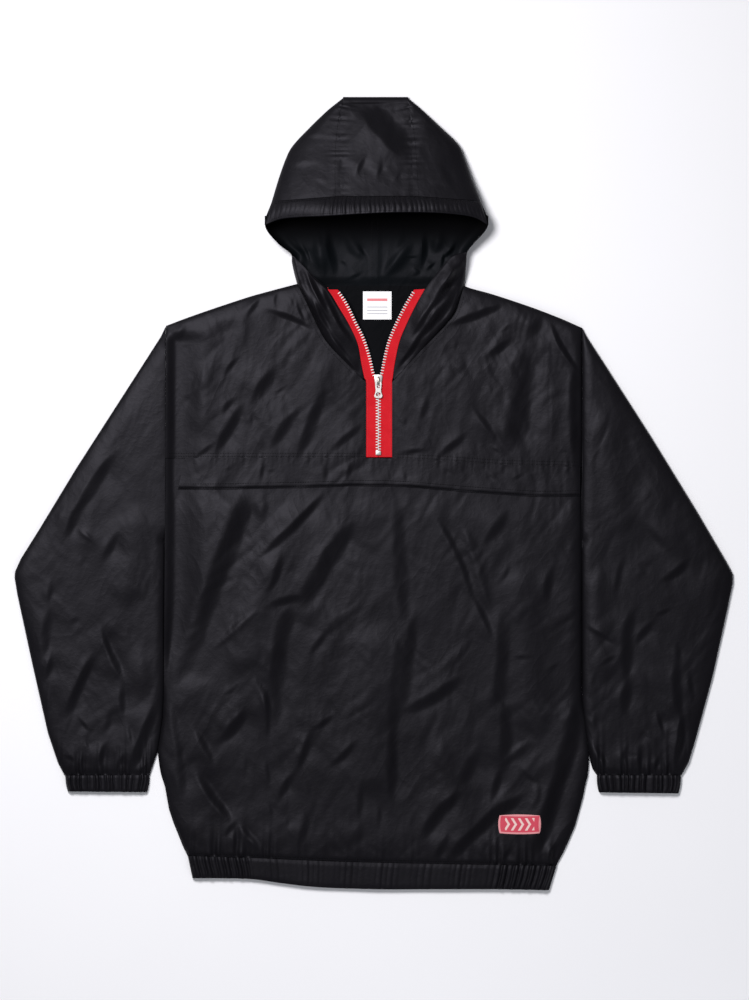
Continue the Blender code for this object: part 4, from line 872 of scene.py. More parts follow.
def tucked(u, tucks, seed):
    """Rounded tucks with sharp valleys, |sin|^0.6 of an uneven count along u, each of its own height."""
    turn = 2 * math.pi * u
    count = u * tucks + 0.28 * np.sin(turn * 2.3 + seed) + 0.17 * np.sin(turn * 5.1 + 2 * seed)
    height = 0.72 + 0.28 * np.sin(np.floor(count) * 2.4 + seed)
    return np.abs(np.sin(math.pi * count)) ** 0.6 * height


def band(u, v, height, tucks, seed, depth, where=None):
    """Upper face of an elastic band: tucks, a swell between its two stitched edges, rounded folds."""
    share = 1 if where is None else where
    level = rise(np.minimum(u, 1 - u), 0.08 if where is None else 0.015)
    slanted = u + 0.06 / tucks * np.sin(5 * v + 9 * u)
    ends = fade(v / 0.16) * fade((1 - v) / 0.16)
    lift = depth * (tucked(slanted, tucks, seed) - 0.55) * share * (0.7 + 0.3 * ends) + 0.7 * ends
    return SLEEVE_FOLD + (height - SLEEVE_FOLD + lift) * level


for side in (-1, 1):
    v = np.linspace(0, 1, BAND_ROWS)[:, None]
    corners = np.array(CUFFS[side])
    bulge = (side * 0.9, 0) * np.sin(math.pi * v)
    outer = blend(corners[0], corners[2], v) + bulge
    inner = blend(corners[1], corners[3], v) - bulge

    def cuff_height(x, y):
        """The elastic band's height at the share of the cuff's width that is passed at x."""
        share = (x - inner[:, :1]) / (outer[:, :1] - inner[:, :1])
        return band(share, v + 0 * x, CUFF_HEIGHT, CUFF_TUCKS, side, CUFF_DEPTH)

    tube = flat_tube(outer, inner, cuff_height, 190, 30)
    sew(f"cuff_{HANDS[side]}", [tube], turned=side > 0)

# ---- Hem band ------------------------------------------------------------------------------------
# A doubled band round the hem. Elastic gathers its two ends near the side seams, and the middle
# of the front lies smooth.
HEM_FREE = [(-217.2, -461.4), (-184.2, -461.4), (-144.6, -462.6), (-109.8, -467.4), (-65.4, -472.2),
            (6.6, -474.6), (69, -474.6), (145.8, -474.6), (210.6, -475.8)]
HEM_HEIGHT = 7.4
HEM_TUCKS, HEM_DEPTH = 62, 4.4
HEM_COLUMNS = 420
v = np.linspace(0, 1, BAND_ROWS)[:, None]
u = np.concatenate([np.linspace(0, 1, HEM_COLUMNS), (1 - np.cos(np.linspace(math.pi, 0, 60)))[1:] / 2])
seam, free = along(spline(HEM_SEAM), u) - (0, 0.2), along(spline(HEM_FREE), u)
plan = blend(seam[None], free[None], v[..., None])
gathering = np.maximum(1 - fade((u - 0.155) / 0.03), fade((u - 0.825) / 0.03))
gathering = np.maximum(gathering, 0.12 + 0.1 * np.sin(u * 61))
over = band(u[None] + 0 * v, v + 0 * u[None], HEM_HEIGHT, HEM_TUCKS, 0.6, HEM_DEPTH, gathering[None])
over = over + ripple(plan[..., 0], plan[..., 1], 12.0, 0.3)
edge_gap = np.minimum(u, 1 - u) * 440
z = np.where(np.arange(u.size) < HEM_COLUMNS, over, underside(edge_gap))
z[:, [0, HEM_COLUMNS - 1, -1]] = SLEEVE_FOLD
sew("hem_band", [raised(plan, z)], turned=True)

# ---- Hood ----------------------------------------------------------------------------------------
# Two side panels and a centre panel. Its front lies up on the rest as a low dome from the crown to
# the brim, and its back lies on the surface and shows inside. The side panels run on down as the collar.
# columns: top x, y, z at the centre panel, outermost x, y, z, back x, y at the centre panel
HOOD_SECTIONS = {
    -1: [(-36.6, 467.4, 8, -37, 474, 4.2, -36.6, 467.4),
         (-39, 457.8, 11, -55.8, 458.9, 4.6, -36.8, 455.4),
         (-40.2, 438.6, 15.5, -77.6, 437.8, 5.6, -39, 436.2),
         (-40.8, 417, 20.5, -97, 416.8, 7.5, -40.2, 415.8),
         (-40.8, 400.2, 25, -105.6, 400.2, 9.5, -42.6, 400.2),
         (-40.2, 378.6, 31, -114, 376.2, 13.5, -45, 378.6),
         (-39, 355.8, 37, -121.8, 349.8, 19, -47.4, 357), (-39, 355.8, 37, -130, 321, 25, -53.4, 326),
         (-39, 355.8, 37, -114.2, 299.2, 21, -52.2, 301),
         (-39, 355.8, 37, -99.4, 287.4, 17, -51, 287.4),
         (-39, 355.8, 37, -97.8, 276.8, 13, -49.8, 277), (-39, 355.8, 37, -95, 263.4, 8, -48.6, 263),
         (-39, 355.8, 37, -91.8, 251.9, 3.4, -47.4, 249)],
    1: [(41.4, 467.4, 8, 41.6, 474, 4.2, 41.4, 467.4),
        (43.8, 457.8, 11, 55.4, 462.6, 4.6, 41.6, 455.4),
        (45, 438.6, 15.5, 78.6, 441.2, 5.6, 43.4, 436.2),
        (45.8, 417, 20.5, 101.4, 418.6, 7.5, 45, 415.8),
        (46.2, 400.2, 25, 109.8, 400.2, 9.5, 46.6, 400.2),
        (47, 378.6, 31, 118.2, 376.2, 13.5, 48.6, 378.6), (47.4, 355.8, 37, 128.2, 350.4, 19, 51, 357),
        (47.4, 355.8, 37, 137.2, 321.6, 25, 55.8, 326), (47.4, 355.8, 37, 120.4, 299.6, 21, 58, 301),
        (47.4, 355.8, 37, 112.6, 289.6, 17, 57.6, 287.4), (47.4, 355.8, 37, 111.4, 277, 13, 57.2, 277),
        (47.4, 355.8, 37, 110.2, 261.6, 8, 56.6, 263), (47.4, 355.8, 37, 108.6, 249.5, 3.4, 55.8, 249)]}
BRIM_SECTION, COLLAR_SECTION = 6, 9
HOOD_STEPS = 10
HOOD_UNDER = 0.3  # height of the back's lowest face
CENTRE_BULGE = 1.5
# columns: x, y, z, bulge over a straight run to the outermost point or the neckline
FRONT_EDGE = {
    -1: [(-99.4, 287.4, 17, 0), (-88.2, 277, 20.5, 0.5), (-73.8, 261, 22, 2), (-55.4, 244.2, 21, 5),
         (-41, 221.4, 18.5, 6), (-29, 201, 15.5, 6), (-19.4, 179.4, 12, 5), (-15, 155.4, 7.8, 1.5),
         (-11.4, 138.4, 6.3, 0)],
    1: [(112.6, 289.6, 17, 0), (94.2, 284, 20.5, 0.5), (76, 264, 22, 2), (62, 244.8, 21, 5),
        (52.4, 228, 18.5, 6), (41, 205, 15.5, 6), (31.4, 181.8, 12, 5), (25.8, 155.4, 7.8, 1.5),
        (23.4, 138.4, 6.3, 0)]}
CROWN_FOLD = [(467.4, 8.0), (472.6, 6.6), (475.6, 4.0), (472.8, 1.2), (467.4, 0.6)]
HOOD_TOP_CREASES = [
    (-19, 470, 15, 434, 45, 398, -12.8, 19, 23, -0.6), (-5, 409, -15, 393, -22, 374, -6, 6, 8, 0.5),
    (9, 403, 8, 388, 2, 371, -4, 5, 7, 0.4), (37, 388, 29, 379, 22, 367, -3.6, 4, 6, 0.4),
    (-35, 412, -40, 394, -43, 376, -2.8, 5, 7, 0.3), (-109, 392, -82, 395, -55, 393, -2, 5, 9, 0.2),
    (-88, 424, -67, 428, -47, 425, -1.8, 4, 7, 0.3), (-75, 376, -62, 373, -50, 364, -2.4, 4, 6, 0.4),
    (75, 400, 87, 381, 101, 364, -3.2, 6, 9, 0.2), (56, 436, 70, 439, 87, 431, -2, 4, 8, 0.3),
    (62, 370, 80, 371, 98, 367, -2, 4, 6, 0.3),
]
HOOD_INSIDE_CREASES = [
    (-57, 326, -51, 293, -45, 256, -8, 8, 10, 0.3), (-23, 304, -15, 292, -4, 279, -4, 4, 5, 0.4),
    (-45, 287, -38, 278, -29, 268, -3.2, 4, 5, 0.4), (-10, 268, -22, 261, -33, 256, -4, 3, 4, 0.5),
    (49, 307, 23, 274, 9, 256, 5.6, 6, 7, 0.4), (55, 284, 45, 284, 35, 284, -3.2, 3, 5, 0.4),
    (43, 274, 53, 266, 43, 260, -4, 4, 5, 0.5), (62, 322, 61, 293, 55, 263, -6, 6, 8, 0.3),
    (95, 307, 95, 293, 77, 280, -5.2, 4, 6, 0.5), (77, 280, 69, 273, 61, 265, -4.8, 4, 6, 0.5),
    (85, 293, 83, 280, 80, 268, -4.4, 3, 5, 0.5), (-87, 304, -81, 290, -74, 273, -4.8, 4, 6, 0.4),
    (-101, 310, -97, 303, -91, 295, -3.2, 3, 5, 0.4), (-69, 321, -65, 292, -59, 256, 4, 7, 7, 0.2),
    (-34, 321, -28, 304, -14, 278, 3.2, 6, 8, 0.2), (34, 323, 29, 304, 17, 278, 3.2, 6, 8, 0.2),
    (80, 321, 77, 304, 70, 285, 4, 6, 8, 0.2),
]
COLLAR_CREASES = [
    (-91, 285, -85, 254, -62, 211, -10, 6, 7, 0.4), (-81, 285, -71, 249, -47, 201, -9.2, 5, 6, 0.5),
    (-67, 261, -52, 227, -33, 191, -9.2, 5, 6, 0.5), (-74, 242, -62, 211, -45, 187, -7.2, 4, 5, 0.5),
    (-50, 220, -35, 196, -19, 172, -8, 4, 6, 0.5), (-57, 201, -40, 177, -23, 160, -6, 3, 5, 0.4),
    (-44, 172, -31, 158, -16, 143, -5.2, 3, 4, 0.4), (-79, 261, -70, 232, -64, 201, 3.2, 5, 5, 0.2),
    (109, 287, 98, 263, 68, 230, -11.2, 6, 8, 0.4), (99, 278, 85, 244, 56, 206, -10, 5, 7, 0.5),
    (101, 254, 89, 227, 65, 196, -10, 5, 7, 0.5), (87, 237, 73, 211, 46, 179, -9.2, 5, 7, 0.5),
    (73, 232, 58, 206, 41, 182, -8, 4, 6, 0.5), (61, 199, 49, 177, 29, 153, -8, 4, 6, 0.4),
    (44, 175, 37, 163, 27, 148, -6, 4, 6, 0.4), (103, 251, 94, 221, 76, 199, 4.4, 5, 6, 0.2),
]
HOOD_PUCKERS = [(-1, 1.1, 6.5), (1, 1.2, 7.5)]
TOP_SEAMS = {side: np.array([row[:2] for row in HOOD_SECTIONS[side][:7]], float) for side in (-1, 1)}


def hood_relief(x, y):
    """Creases on the hood's upper face, with tucks square to the two long seams."""
    tucks = [puckered(x, y, TOP_SEAMS[side], height, pitch, 6.0) for side, height, pitch in HOOD_PUCKERS]
    return (creased(x, y, HOOD_TOP_CREASES) + crumpled(x, y, 13, 0.8) + tucks[0] + tucks[1]
            + ripple(x, y, 23.0, 0.5))


def inside_relief(x, y):
    """Height of the hood's back over the surface: a loose layer with its own creases, never below it."""
    fell = fade((x + 5) / 2) - fade((x - 6.5) / 2)
    loose = 3.4 + creased(x, y, HOOD_INSIDE_CREASES) * 1.8 + ripple(x, y, 19.0, 0.8) + 1.1 * fell
    return (loose + np.sqrt(loose * loose + 1.0)) / 2 * fade((y - 249) / 14 + 0.12) * fade((470 - y) / 20)


def quarter(start, end, steps, bulge=0.0):
    """A quarter ellipse from each start, where it is level, to each end, where it drops straight down."""
    turn = np.linspace(0, math.pi / 2, steps)[None, :]
    made = start[:, None, :] + (end - start)[:, None, :] * np.sin(turn)[..., None]
    made[..., 2] = end[:, None, 2] + (start - end)[:, None, 2] * np.cos(turn)
    made[..., 2] += np.reshape(bulge, (-1, 1)) * np.sin(2 * turn)
    return made


hood_lines = {}
hood_grids = {}
for side in (-1, 1):
    sections = spline(HOOD_SECTIONS[side], HOOD_STEPS)
    top, out = sections[:, 0:3], sections[:, 3:6]
    back = np.column_stack([sections[:, 6:8], np.zeros(len(sections))])
    hood_lines[side] = (top, out, back)
    brim, collar = BRIM_SECTION * HOOD_STEPS, COLLAR_SECTION * HOOD_STEPS
    upper = quarter(top[: brim + 1], out[: brim + 1], 40)
    hold = np.cos(np.linspace(0, math.pi / 2, 40))[None, :] ** 0.5
    upper[..., 2] += hood_relief(upper[..., 0], upper[..., 1]) * hold * fade((474 - upper[..., 1]) / 14)
    toward = back - out
    toward[:, 2] = 0
    run = np.linalg.norm(toward, axis=1)[:, None]
    foot = out + toward / run * np.minimum(0.4 * run, 3 + 0.45 * out[:, 2:3])
    foot[:, 2] = HOOD_UNDER
    turn = np.linspace(0, math.pi / 2, 14)[None, :, None]
    wall = foot[:, None] + (out - foot)[:, None] * np.cos(turn)
    wall[..., 2] = HOOD_UNDER + (out[:, None, 2] - HOOD_UNDER) * (1 - np.sin(turn[..., 0]))
    share = np.linspace(0, 1, 36)[None, :, None]
    flat = foot[:, None] + (back - foot)[:, None] * share
    flat[..., 2] = HOOD_UNDER + inside_relief(flat[..., 0], flat[..., 1]) * fade(share[..., 0] / 0.3)
    under = np.concatenate([wall, flat[:, 1:]], axis=1)
    edge = spline(FRONT_EDGE[side], HOOD_STEPS)
    neck = on_body(spline(NECKS[side], HOOD_STEPS))
    neck[:, 0] -= side * 0.15
    bound = np.concatenate([out[collar:], neck[1:]])
    front = quarter(edge[:, :3], bound, 34, edge[:, 3])
    hold = (np.sin(np.linspace(0, math.pi, 34)) ** 0.35)[None, :]
    relief = creased(front[..., 0], front[..., 1], COLLAR_CREASES)
    front[..., 2] += (relief + crumpled(front[..., 0], front[..., 1], 21, 2.0)) * hold
    hood_grids[side] = (upper, front)
    sew(f"hood_{HANDS[side]}", [upper, under, front],
        turned=side > 0)

# The centre panel runs from the brim casing over the crown fold and back along the surface to the neck.
rows = []
across = np.linspace(0, 1, 44)[:, None]
(left_top, _, left_back), (right_top, _, right_back) = hood_lines[-1], hood_lines[1]
for left, right in zip(left_top[brim::-1], right_top[brim::-1]):
    row = blend(left, right, across)
    row[:, 2] += (CENTRE_BULGE * np.sin(math.pi * across[:, 0])
                  + hood_relief(row[:, 0], row[:, 1]) * fade((474 - row[:, 1]) / 14))
    rows.append(row)
for y, z in spline(CROWN_FOLD, 5)[1:-1]:
    row = blend(left_top[0], right_top[0], across)
    row[:, 1], row[:, 2] = y, z
    rows.append(row)
for left, right in zip(left_back, right_back):
    row = blend(left, right, across)
    row[:, 2] = HOOD_UNDER + inside_relief(row[:, 0], row[:, 1])
    rows.append(row)
centre_grid = np.array(rows)
sew("hood_center", [centre_grid])

# ---- Brim casing ---------------------------------------------------------------------------------
# A turned band along the hood's opening. A short elastic inside draws its middle into fine tucks.
BRIM_EDGE = [(-130, 321, 25.4), (-112.2, 327.8, 31.5), (-89.4, 330.2, 37), (-57, 331.4, 43),
             (-16.2, 333.8, 46.6), (25.8, 335.6, 47), (66.6, 335.6, 43), (96.6, 333.8, 37.5),
             (120.6, 330, 31.5), (137.2, 321, 25.4)]
CASING_WALL = 0.6
BRIM_TUCKS = 46
left = quarter(hood_lines[-1][0][brim: brim + 1], hood_lines[-1][1][brim: brim + 1], 12)[0][::-1]
right = quarter(hood_lines[1][0][brim: brim + 1], hood_lines[1][1][brim: brim + 1], 12)[0]
middle = np.linspace(left[-1], right[0], 12)[1:-1]
middle[:, 2] += CENTRE_BULGE * np.sin(math.pi * np.linspace(0, 1, 12)[1:-1])
u = np.linspace(0, 1, 380)
seam, free = along(np.vstack([left, middle, right]), u), along(spline(BRIM_EDGE), u)
v = np.linspace(0, 1, 20)[:, None]
casing = blend(seam[None], free[None], v[..., None])
casing[..., 1] -= 0.1 * (1 - v)
casing[..., 2] += hood_relief(casing[..., 0], casing[..., 1]) * (1 - fade(v / 0.5))
gathering = 0.3 + 0.7 * fade((u - 0.2) / 0.15) * fade((0.8 - u) / 0.15)
lift = 1.7 * (tucked(u[None] + 0.0015 * np.sin(7 * v + 11 * u[None]), BRIM_TUCKS, 1.1) - 0.55)
casing[..., 2] += lift * gathering * np.sin(math.pi * np.clip(v * 0.9 + 0.08, 0, 1)) ** 0.6
casing[..., 2] += (2.4 * np.sin(math.pi * v) - 0.6 * np.exp(-(v / 0.08) ** 2)
                   + 1.5 * (1 - fade(np.minimum(u, 1 - u) / 0.05)))
turned_in = casing[-1][None] + np.array((0.0, 1.0, 0.0)) * np.array([0.5, 3, 7, 11])[:, None, None]
turned_in[..., 2] += np.array([-1.1, -2.4, -3.0, -3.4])[:, None] - 0.1
casing = np.concatenate([casing, turned_in])
sew("hood_casing", [casing[::-1]],
    wall=CASING_WALL)

# ---- Zip tapes -----------------------------------------------------------------------------------
# Bright red woven tapes sewn under the nylon's edges. They are closed below the slider and lie
# open along the collar above it.
TAPE_INNER = {
    -1: [(4.8, 136.4), (0.6, 144.6), (-4.2, 165), (-11.4, 186.6), (-21, 205.8), (-31.8, 228),
         (-42.6, 244.2)],
    1: [(6.8, 136.4), (9, 144.6), (12.6, 162.6), (17.4, 181.8), (25.8, 202.2), (37.2, 225),
        (48.6, 244.2)]}
ZIP_HEIGHT = 5.8
ZIP_END = 43.6
TAPE_WALL = 0.7


def red_tape(name, colour, shade):
    """Polyester tape: fine ribs across its width and a cord along the teeth."""
    look = Graph(name, Specular_IOR_Level=0.1)
    u, v = look.cloth_uv()
    ribs = v.wave(0.9) * u.wave(1.3)
    tone = look.noise(look.place(), 90.0, 4.0)
    return look.finish(look.mix(tone, colour, shade), 0.62 + 0.2 * tone,
                       look.bump(ribs * 0.5 + 0.5, 0.12, 0.6))


tape_red = red_tape("tape_red", (0.60, 0.012, 0.021), (0.47, 0.007, 0.014))
tape_grids = {}
for side in (-1, 1):
    edge = spline(FRONT_EDGE[side][3:], HOOD_STEPS)[::-1, :3]
    edge[:, 0] -= side * 0.5
    edge[:, 2] -= 0.9
    inner = along(spline(TAPE_INNER[side]), np.linspace(0, 1, len(edge)))
    sag = 1.6 * fade(np.linspace(0, 1, len(edge)) * 2)
    inner = np.column_stack([inner, edge[:, 2] - sag])
    closed = np.linspace(ZIP_END, edge[0, 1], 40)[:-1]
    level = np.full(39, ZIP_HEIGHT)
    edge[0, 2] = inner[0, 2] = ZIP_HEIGHT
    edge = np.vstack([np.column_stack([np.full(39, ZIP_EDGES[side]), closed, level]), edge])
    inner = np.vstack([np.column_stack([np.full(39, ZIP_X + side * 0.25), closed, level]), inner])
    u = np.linspace(0, 1, 14)[None, :, None]
    tape = blend(edge[:, None], inner[:, None], u)
    tape[..., 2] += 0.5 * np.exp(-((u[..., 0] - 0.86) / 0.07) ** 2) - 0.3 * fade((u[..., 0] - 0.1) / 0.1)
    tape_grids[side] = tape
    sew(f"zip_tape_{HANDS[side]}", [tape],
        turned=side > 0, wall=TAPE_WALL, materials=(tape_red,))

# ---- Zip teeth, stop, slider and pull ------------------------------------------------------------
# Silver metal teeth clamped on the tapes' inner edges, a bottom stop over both rows, and a slider
# with a bridge that carries the pull.
TOOTH_PITCH = 3.4
TOOTH_LIFT, TOOTH_GRIP = 0.75, 0.95  # its middle over the tape, and back from the tape's edge
FIRST_TOOTH = 4.6
TOOTH = (3.9, 1.35, 1.4)  # across the chain, along it, thick
STOP_Y = (46.0, 51.4)
WORN = (0.6, 0.59, 0.59)


def silver(name, colour, roughness, metallic):
    """Nickel-plated metal with faint wear."""
    look = Graph(name, Metallic=metallic)
    wear = look.noise(look.place(), 400.0, 3.0)
    return look.finish(look.mix(wear, colour, WORN), wear * 0.2 + roughness, look.bump(wear, 0.05, 0.3))


zip_silver = silver("zip_silver", (0.36, 0.345, 0.325), 0.3, 0.95)
bridge_nickel = silver("bridge_nickel", (0.55, 0.47, 0.34), 0.35, 0.9)
tooth_silver = silver("tooth_silver", (0.9, 0.88, 0.88), 0.4, 0.35)


def closed_mesh(name, rings):
    """One closed body for each row of rings (bodies, rings, points, xyz): quads, and capped ends."""
    bodies, count, around = rings.shape[:3]
    step = np.arange(around)
    ring = np.arange(count - 1)[:, None] * around
    quads = np.stack([ring + step, ring + (step + 1) % around, ring + around + (step + 1) % around,
                      ring + around + step], axis=-1).reshape(-1, 4)
    first = np.arange(bodies) * count * around
    quads = (quads[None] + first[:, None, None]).reshape(-1, 4)
    caps = [ends for start in first.tolist()
            for ends in ((step[::-1] + start).tolist(), (step + start + (count - 1) * around).tolist())]
    mesh = bpy.data.meshes.new(name)
    mesh.from_pydata(rings.reshape(-1, 3) * MM, [], quads.tolist() + caps)
    shape = bmesh.new()
    shape.from_mesh(mesh)
    bmesh.ops.recalc_face_normals(shape, faces=shape.faces)
    shape.to_mesh(mesh)
    shape.free()
    mesh.shade_smooth()
    return mesh


def placed(shape, centres, forward, up=(0.0, 0.0, 1.0)):
    """Copies of a shape (rings, points, xyz), each turned so that its x runs forward and z stays up."""
    forward = forward / np.linalg.norm(forward, axis=1)[:, None]
    across = np.cross(np.broadcast_to(up, forward.shape), forward)
    across /= np.linalg.norm(across, axis=1)[:, None]
    axes = np.stack([forward, across, np.cross(forward, across)], axis=1)
    return centres[:, None, None] + np.einsum("rpi,nij->nrpj", shape, axes)


turns = np.linspace(0, 2 * math.pi, 8, endpoint=False) + math.pi / 8
round_box = np.stack([np.zeros(8), np.cos(turns), np.sin(turns)], axis=-1)
stations = np.array([(-0.5, 0.8), (-0.42, 1.0), (0.1, 0.95), (0.36, 1.1), (0.5, 0.7)])
tooth = round_box[None] * stations[:, 1, None, None] * (0, TOOTH[1] * 0.55, TOOTH[2] * 0.55)
tooth[..., 0] = stations[:, 0, None] * TOOTH[0]
teeth = []
for side in (-1, 1):
    chain = tape_grids[side][:, -1]
    first = FIRST_TOOTH if side < 0 else FIRST_TOOTH + TOOTH_PITCH / 2
    at = np.arange(first, lengths(chain)[-1] - 2.5, TOOTH_PITCH)
    centre = at_lengths(chain, at)
    inward = np.cross(at_lengths(chain, at + 1) - centre, (0.0, 0.0, 1.0)) * -side
    inward /= np.linalg.norm(inward, axis=1)[:, None]
    centre = centre + (0, 0, TOOTH_LIFT) + inward * -TOOTH_GRIP
    above_stop = centre[:, 1] > STOP_Y[1] + 0.1
    teeth.append(placed(tooth, centre[above_stop], inward[above_stop]))
add_piece("zip_teeth", closed_mesh("zip_teeth", np.concatenate(teeth)), [tooth_silver])


def pillow(outline, low, high, soft):
    """A plate with rounded rims: rings of the outline drawn in towards its centre near both faces."""
    outline = np.array(outline, float)
    centre = outline.mean(axis=0)
    turn = np.linspace(-math.pi / 2, math.pi / 2, 9)
    inset = soft * (1 - np.cos(turn))
    z = np.where(turn < 0, low + soft * (1 + np.sin(turn)), high - soft * (1 - np.sin(turn)))
    reach = np.linalg.norm(outline - centre, axis=1)[None, :, None]
    flat = centre + (outline - centre)[None] * (1 - inset[:, None, None] / reach)
    return np.concatenate([flat, np.broadcast_to(z[:, None, None], (*flat.shape[:2], 1))], axis=-1)[None]


def oval(x, y, half_x, half_y, power=3.0, count=32, taper=0.0):
    """A superellipse; taper narrows it towards its lower end."""
    turn = np.linspace(0, 2 * math.pi, count, endpoint=False)
    c, s = np.cos(turn), np.sin(turn)
    px, py = np.sign(c) * np.abs(c) ** (2 / power), np.sign(s) * np.abs(s) ** (2 / power)
    return np.stack([x + half_x * px * (1 + taper * py), y + half_y * py], axis=-1)


stop = pillow(oval(ZIP_X, sum(STOP_Y) / 2, 3.3, (STOP_Y[1] - STOP_Y[0]) / 2, 6),
              ZIP_HEIGHT + 0.1, ZIP_HEIGHT + 1.9, 0.4)
SLIDER_Y = 136.5
DECK = 7.6  # upper face of the slider
plate = oval(ZIP_X, SLIDER_Y, 4.7, 6.3, 4, taper=0.2)
slider_parts = [pillow(plate, DECK - 1.2, DECK, 0.45), pillow(plate, 3.1, 4.2, 0.4),
                pillow(oval(ZIP_X, SLIDER_Y + 4.6, 1.0, 1.2, 3), 3.5, DECK - 0.3, 0.2)]
BRIDGE_SPAN, BRIDGE_RISE = 4.4, 3.2  # half its length, and its height
BRIDGE_BAR = (1, 0.5, 1.15)  # half its thickness, and half its width across the zip
arch = np.linspace(0, math.pi, 15)
bridge_line = np.stack([np.full(arch.size, ZIP_X), SLIDER_Y - 1.0 + BRIDGE_SPAN * np.cos(arch),
                        DECK - 0.4 + BRIDGE_RISE * np.sin(arch) ** 0.5], axis=-1)
bridge = placed(round_box[None] * BRIDGE_BAR, bridge_line, np.gradient(bridge_line, axis=0), (1, 0, 0))
add_piece("zip_stop_look", closed_mesh("zip_stop", stop), [zip_silver],
          stands_for=["zip_stop"])
add_piece("slider_body", closed_mesh("slider_body", np.concatenate(slider_parts)), [zip_silver],
          stands_for=["zip_slider"])
add_piece("slider_bridge", closed_mesh("slider_bridge", bridge[:, 0][None]), [bridge_nickel])

# The pull is stamped from sheet: an eye round the bridge, a waist, and a wide foot with a round hole.
PIVOT_Y, PIVOT_Z = 133.1, 8.65
PULL_LENGTH = 18.4
PULL_SHEET, PULL_ROUNDING = 0.3, 0.2  # half the flat thickness, and the rounded rim
PULL_EYE = oval(0, -3.3, 1.9, 3.9, 4, 24)
PULL_HOLE = oval(0, -14.2, 2.8, 2.3, 2.6, 24)
pull_curve = bpy.data.curves.new("pull_tab_look", "CURVE")
pull_curve.dimensions, pull_curve.fill_mode = "2D", "BOTH"
pull_curve.extrude, pull_curve.bevel_depth = PULL_SHEET * MM, PULL_ROUNDING * MM
pull_curve.bevel_resolution = 2
half_widths = spline([(3.0, 0.85), (3.7, -0.6), (3.6, -5.0), (3.1, -8.5), (3.5, -12.0), (4.7, -15.6),
                      (4.2, -17.6), (2.6, -PULL_LENGTH)], 6)
pull_outline = np.vstack([half_widths, half_widths[::-1] * (-1, 1)])
for ring in (pull_outline, PULL_EYE, PULL_HOLE):
    border = pull_curve.splines.new("POLY")
    border.points.add(len(ring) - 1)
    weights = np.tile((0.0, 1.0), (len(ring), 1))
    border.points.foreach_set("co", np.column_stack([ring * MM, weights]).ravel())
    border.use_cyclic_u = True
pull_holder = bpy.data.objects.new("pull_holder", pull_curve)
scene.collection.objects.link(pull_holder)
bpy.context.view_layer.update()
graph = bpy.context.evaluated_depsgraph_get()
pull_mesh = bpy.data.meshes.new_from_object(pull_holder.evaluated_get(graph))
bpy.data.objects.remove(pull_holder)
pull_points = np.zeros(len(pull_mesh.vertices) * 3)
pull_mesh.vertices.foreach_get("co", pull_points)
pull_points = pull_points.reshape(-1, 3) + np.array((ZIP_X, PIVOT_Y, PIVOT_Z)) * MM
pull_mesh.vertices.foreach_set("co", pull_points.ravel())
pull_mesh.materials.clear()
add_piece("pull_tab_look", pull_mesh, [zip_silver], "pull_tab", ["pull_tab"])

# ---- Neck label ----------------------------------------------------------------------------------
# A square woven satin label sewn on all four sides inside the back neck: white, with a plain pale red
# band and three grey rules.
LABEL_LOW, LABEL_HIGH = (-12.6, 208.8), (21.6, 242.4)
LABEL_SIZE = LABEL_HIGH[0] - LABEL_LOW[0]
LABEL_WALL = 0.4
# from and to, up from its lower end
RULES = [(6.4, 7.4), (10.4, 11.4), (14.4, 15.4)]
RED_BAND = (22.0, 25.2)


def label_weave():
    """White satin; steps along the label's height give the red band and three grey rules."""
    look = Graph("label_weave", Specular_IOR_Level=0.4)
    u, v = look.cloth_uv()

    def stripe(low, high):
        """1 between low and high up the label, 0 elsewhere."""
        return v.step(low - 0.15, low + 0.15) * (1 - v.step(high - 0.15, high + 0.15))

    inside = u.step(4.8, 5.1) * (1 - u.step(LABEL_SIZE - 5.1, LABEL_SIZE - 4.8))
    rules = (stripe(*RULES[0]) + stripe(*RULES[1]) + stripe(*RULES[2])) * inside
    red_band = stripe(*RED_BAND) * inside
    satin = v.wave(0.5) * 0.5 + 0.5
    colour = look.mix(rules, (0.88, 0.88, 0.9), (0.36, 0.36, 0.4))
    colour = look.mix(red_band, colour, (0.72, 0.22, 0.24))
    return look.finish(colour, 0.6 + 0.1 * satin, look.bump(satin, 0.03, 0.4))


def label_height(x, y):
    """A slight wave across the label, and its lower end a little raised."""
    return 2.9 + 0.25 * np.sin((x - LABEL_LOW[0]) / 9) + 0.5 * fade((LABEL_LOW[1] + 9 - y) / 9)


x, y = np.meshgrid(*(np.linspace(low, high, 30) for low, high in zip(LABEL_LOW, LABEL_HIGH)))
sew("neck_label", [np.stack([x, y, label_height(x, y)], axis=-1)],
    wall=LABEL_WALL, materials=(label_weave(),))

# ---- Hem patch -----------------------------------------------------------------------------------
# A small embroidered patch on the lower right front: red ground, pale chevrons and a pale
# overlocked rim. It is stitched flat to the panel and follows its folds.
PATCH_CENTRE = (175.2, -396.6)
PATCH_HALF = (25.6, 11.8)
PATCH_WALL = 0.6
PATCH_CORNER = 0.12  # how far its corners are drawn in


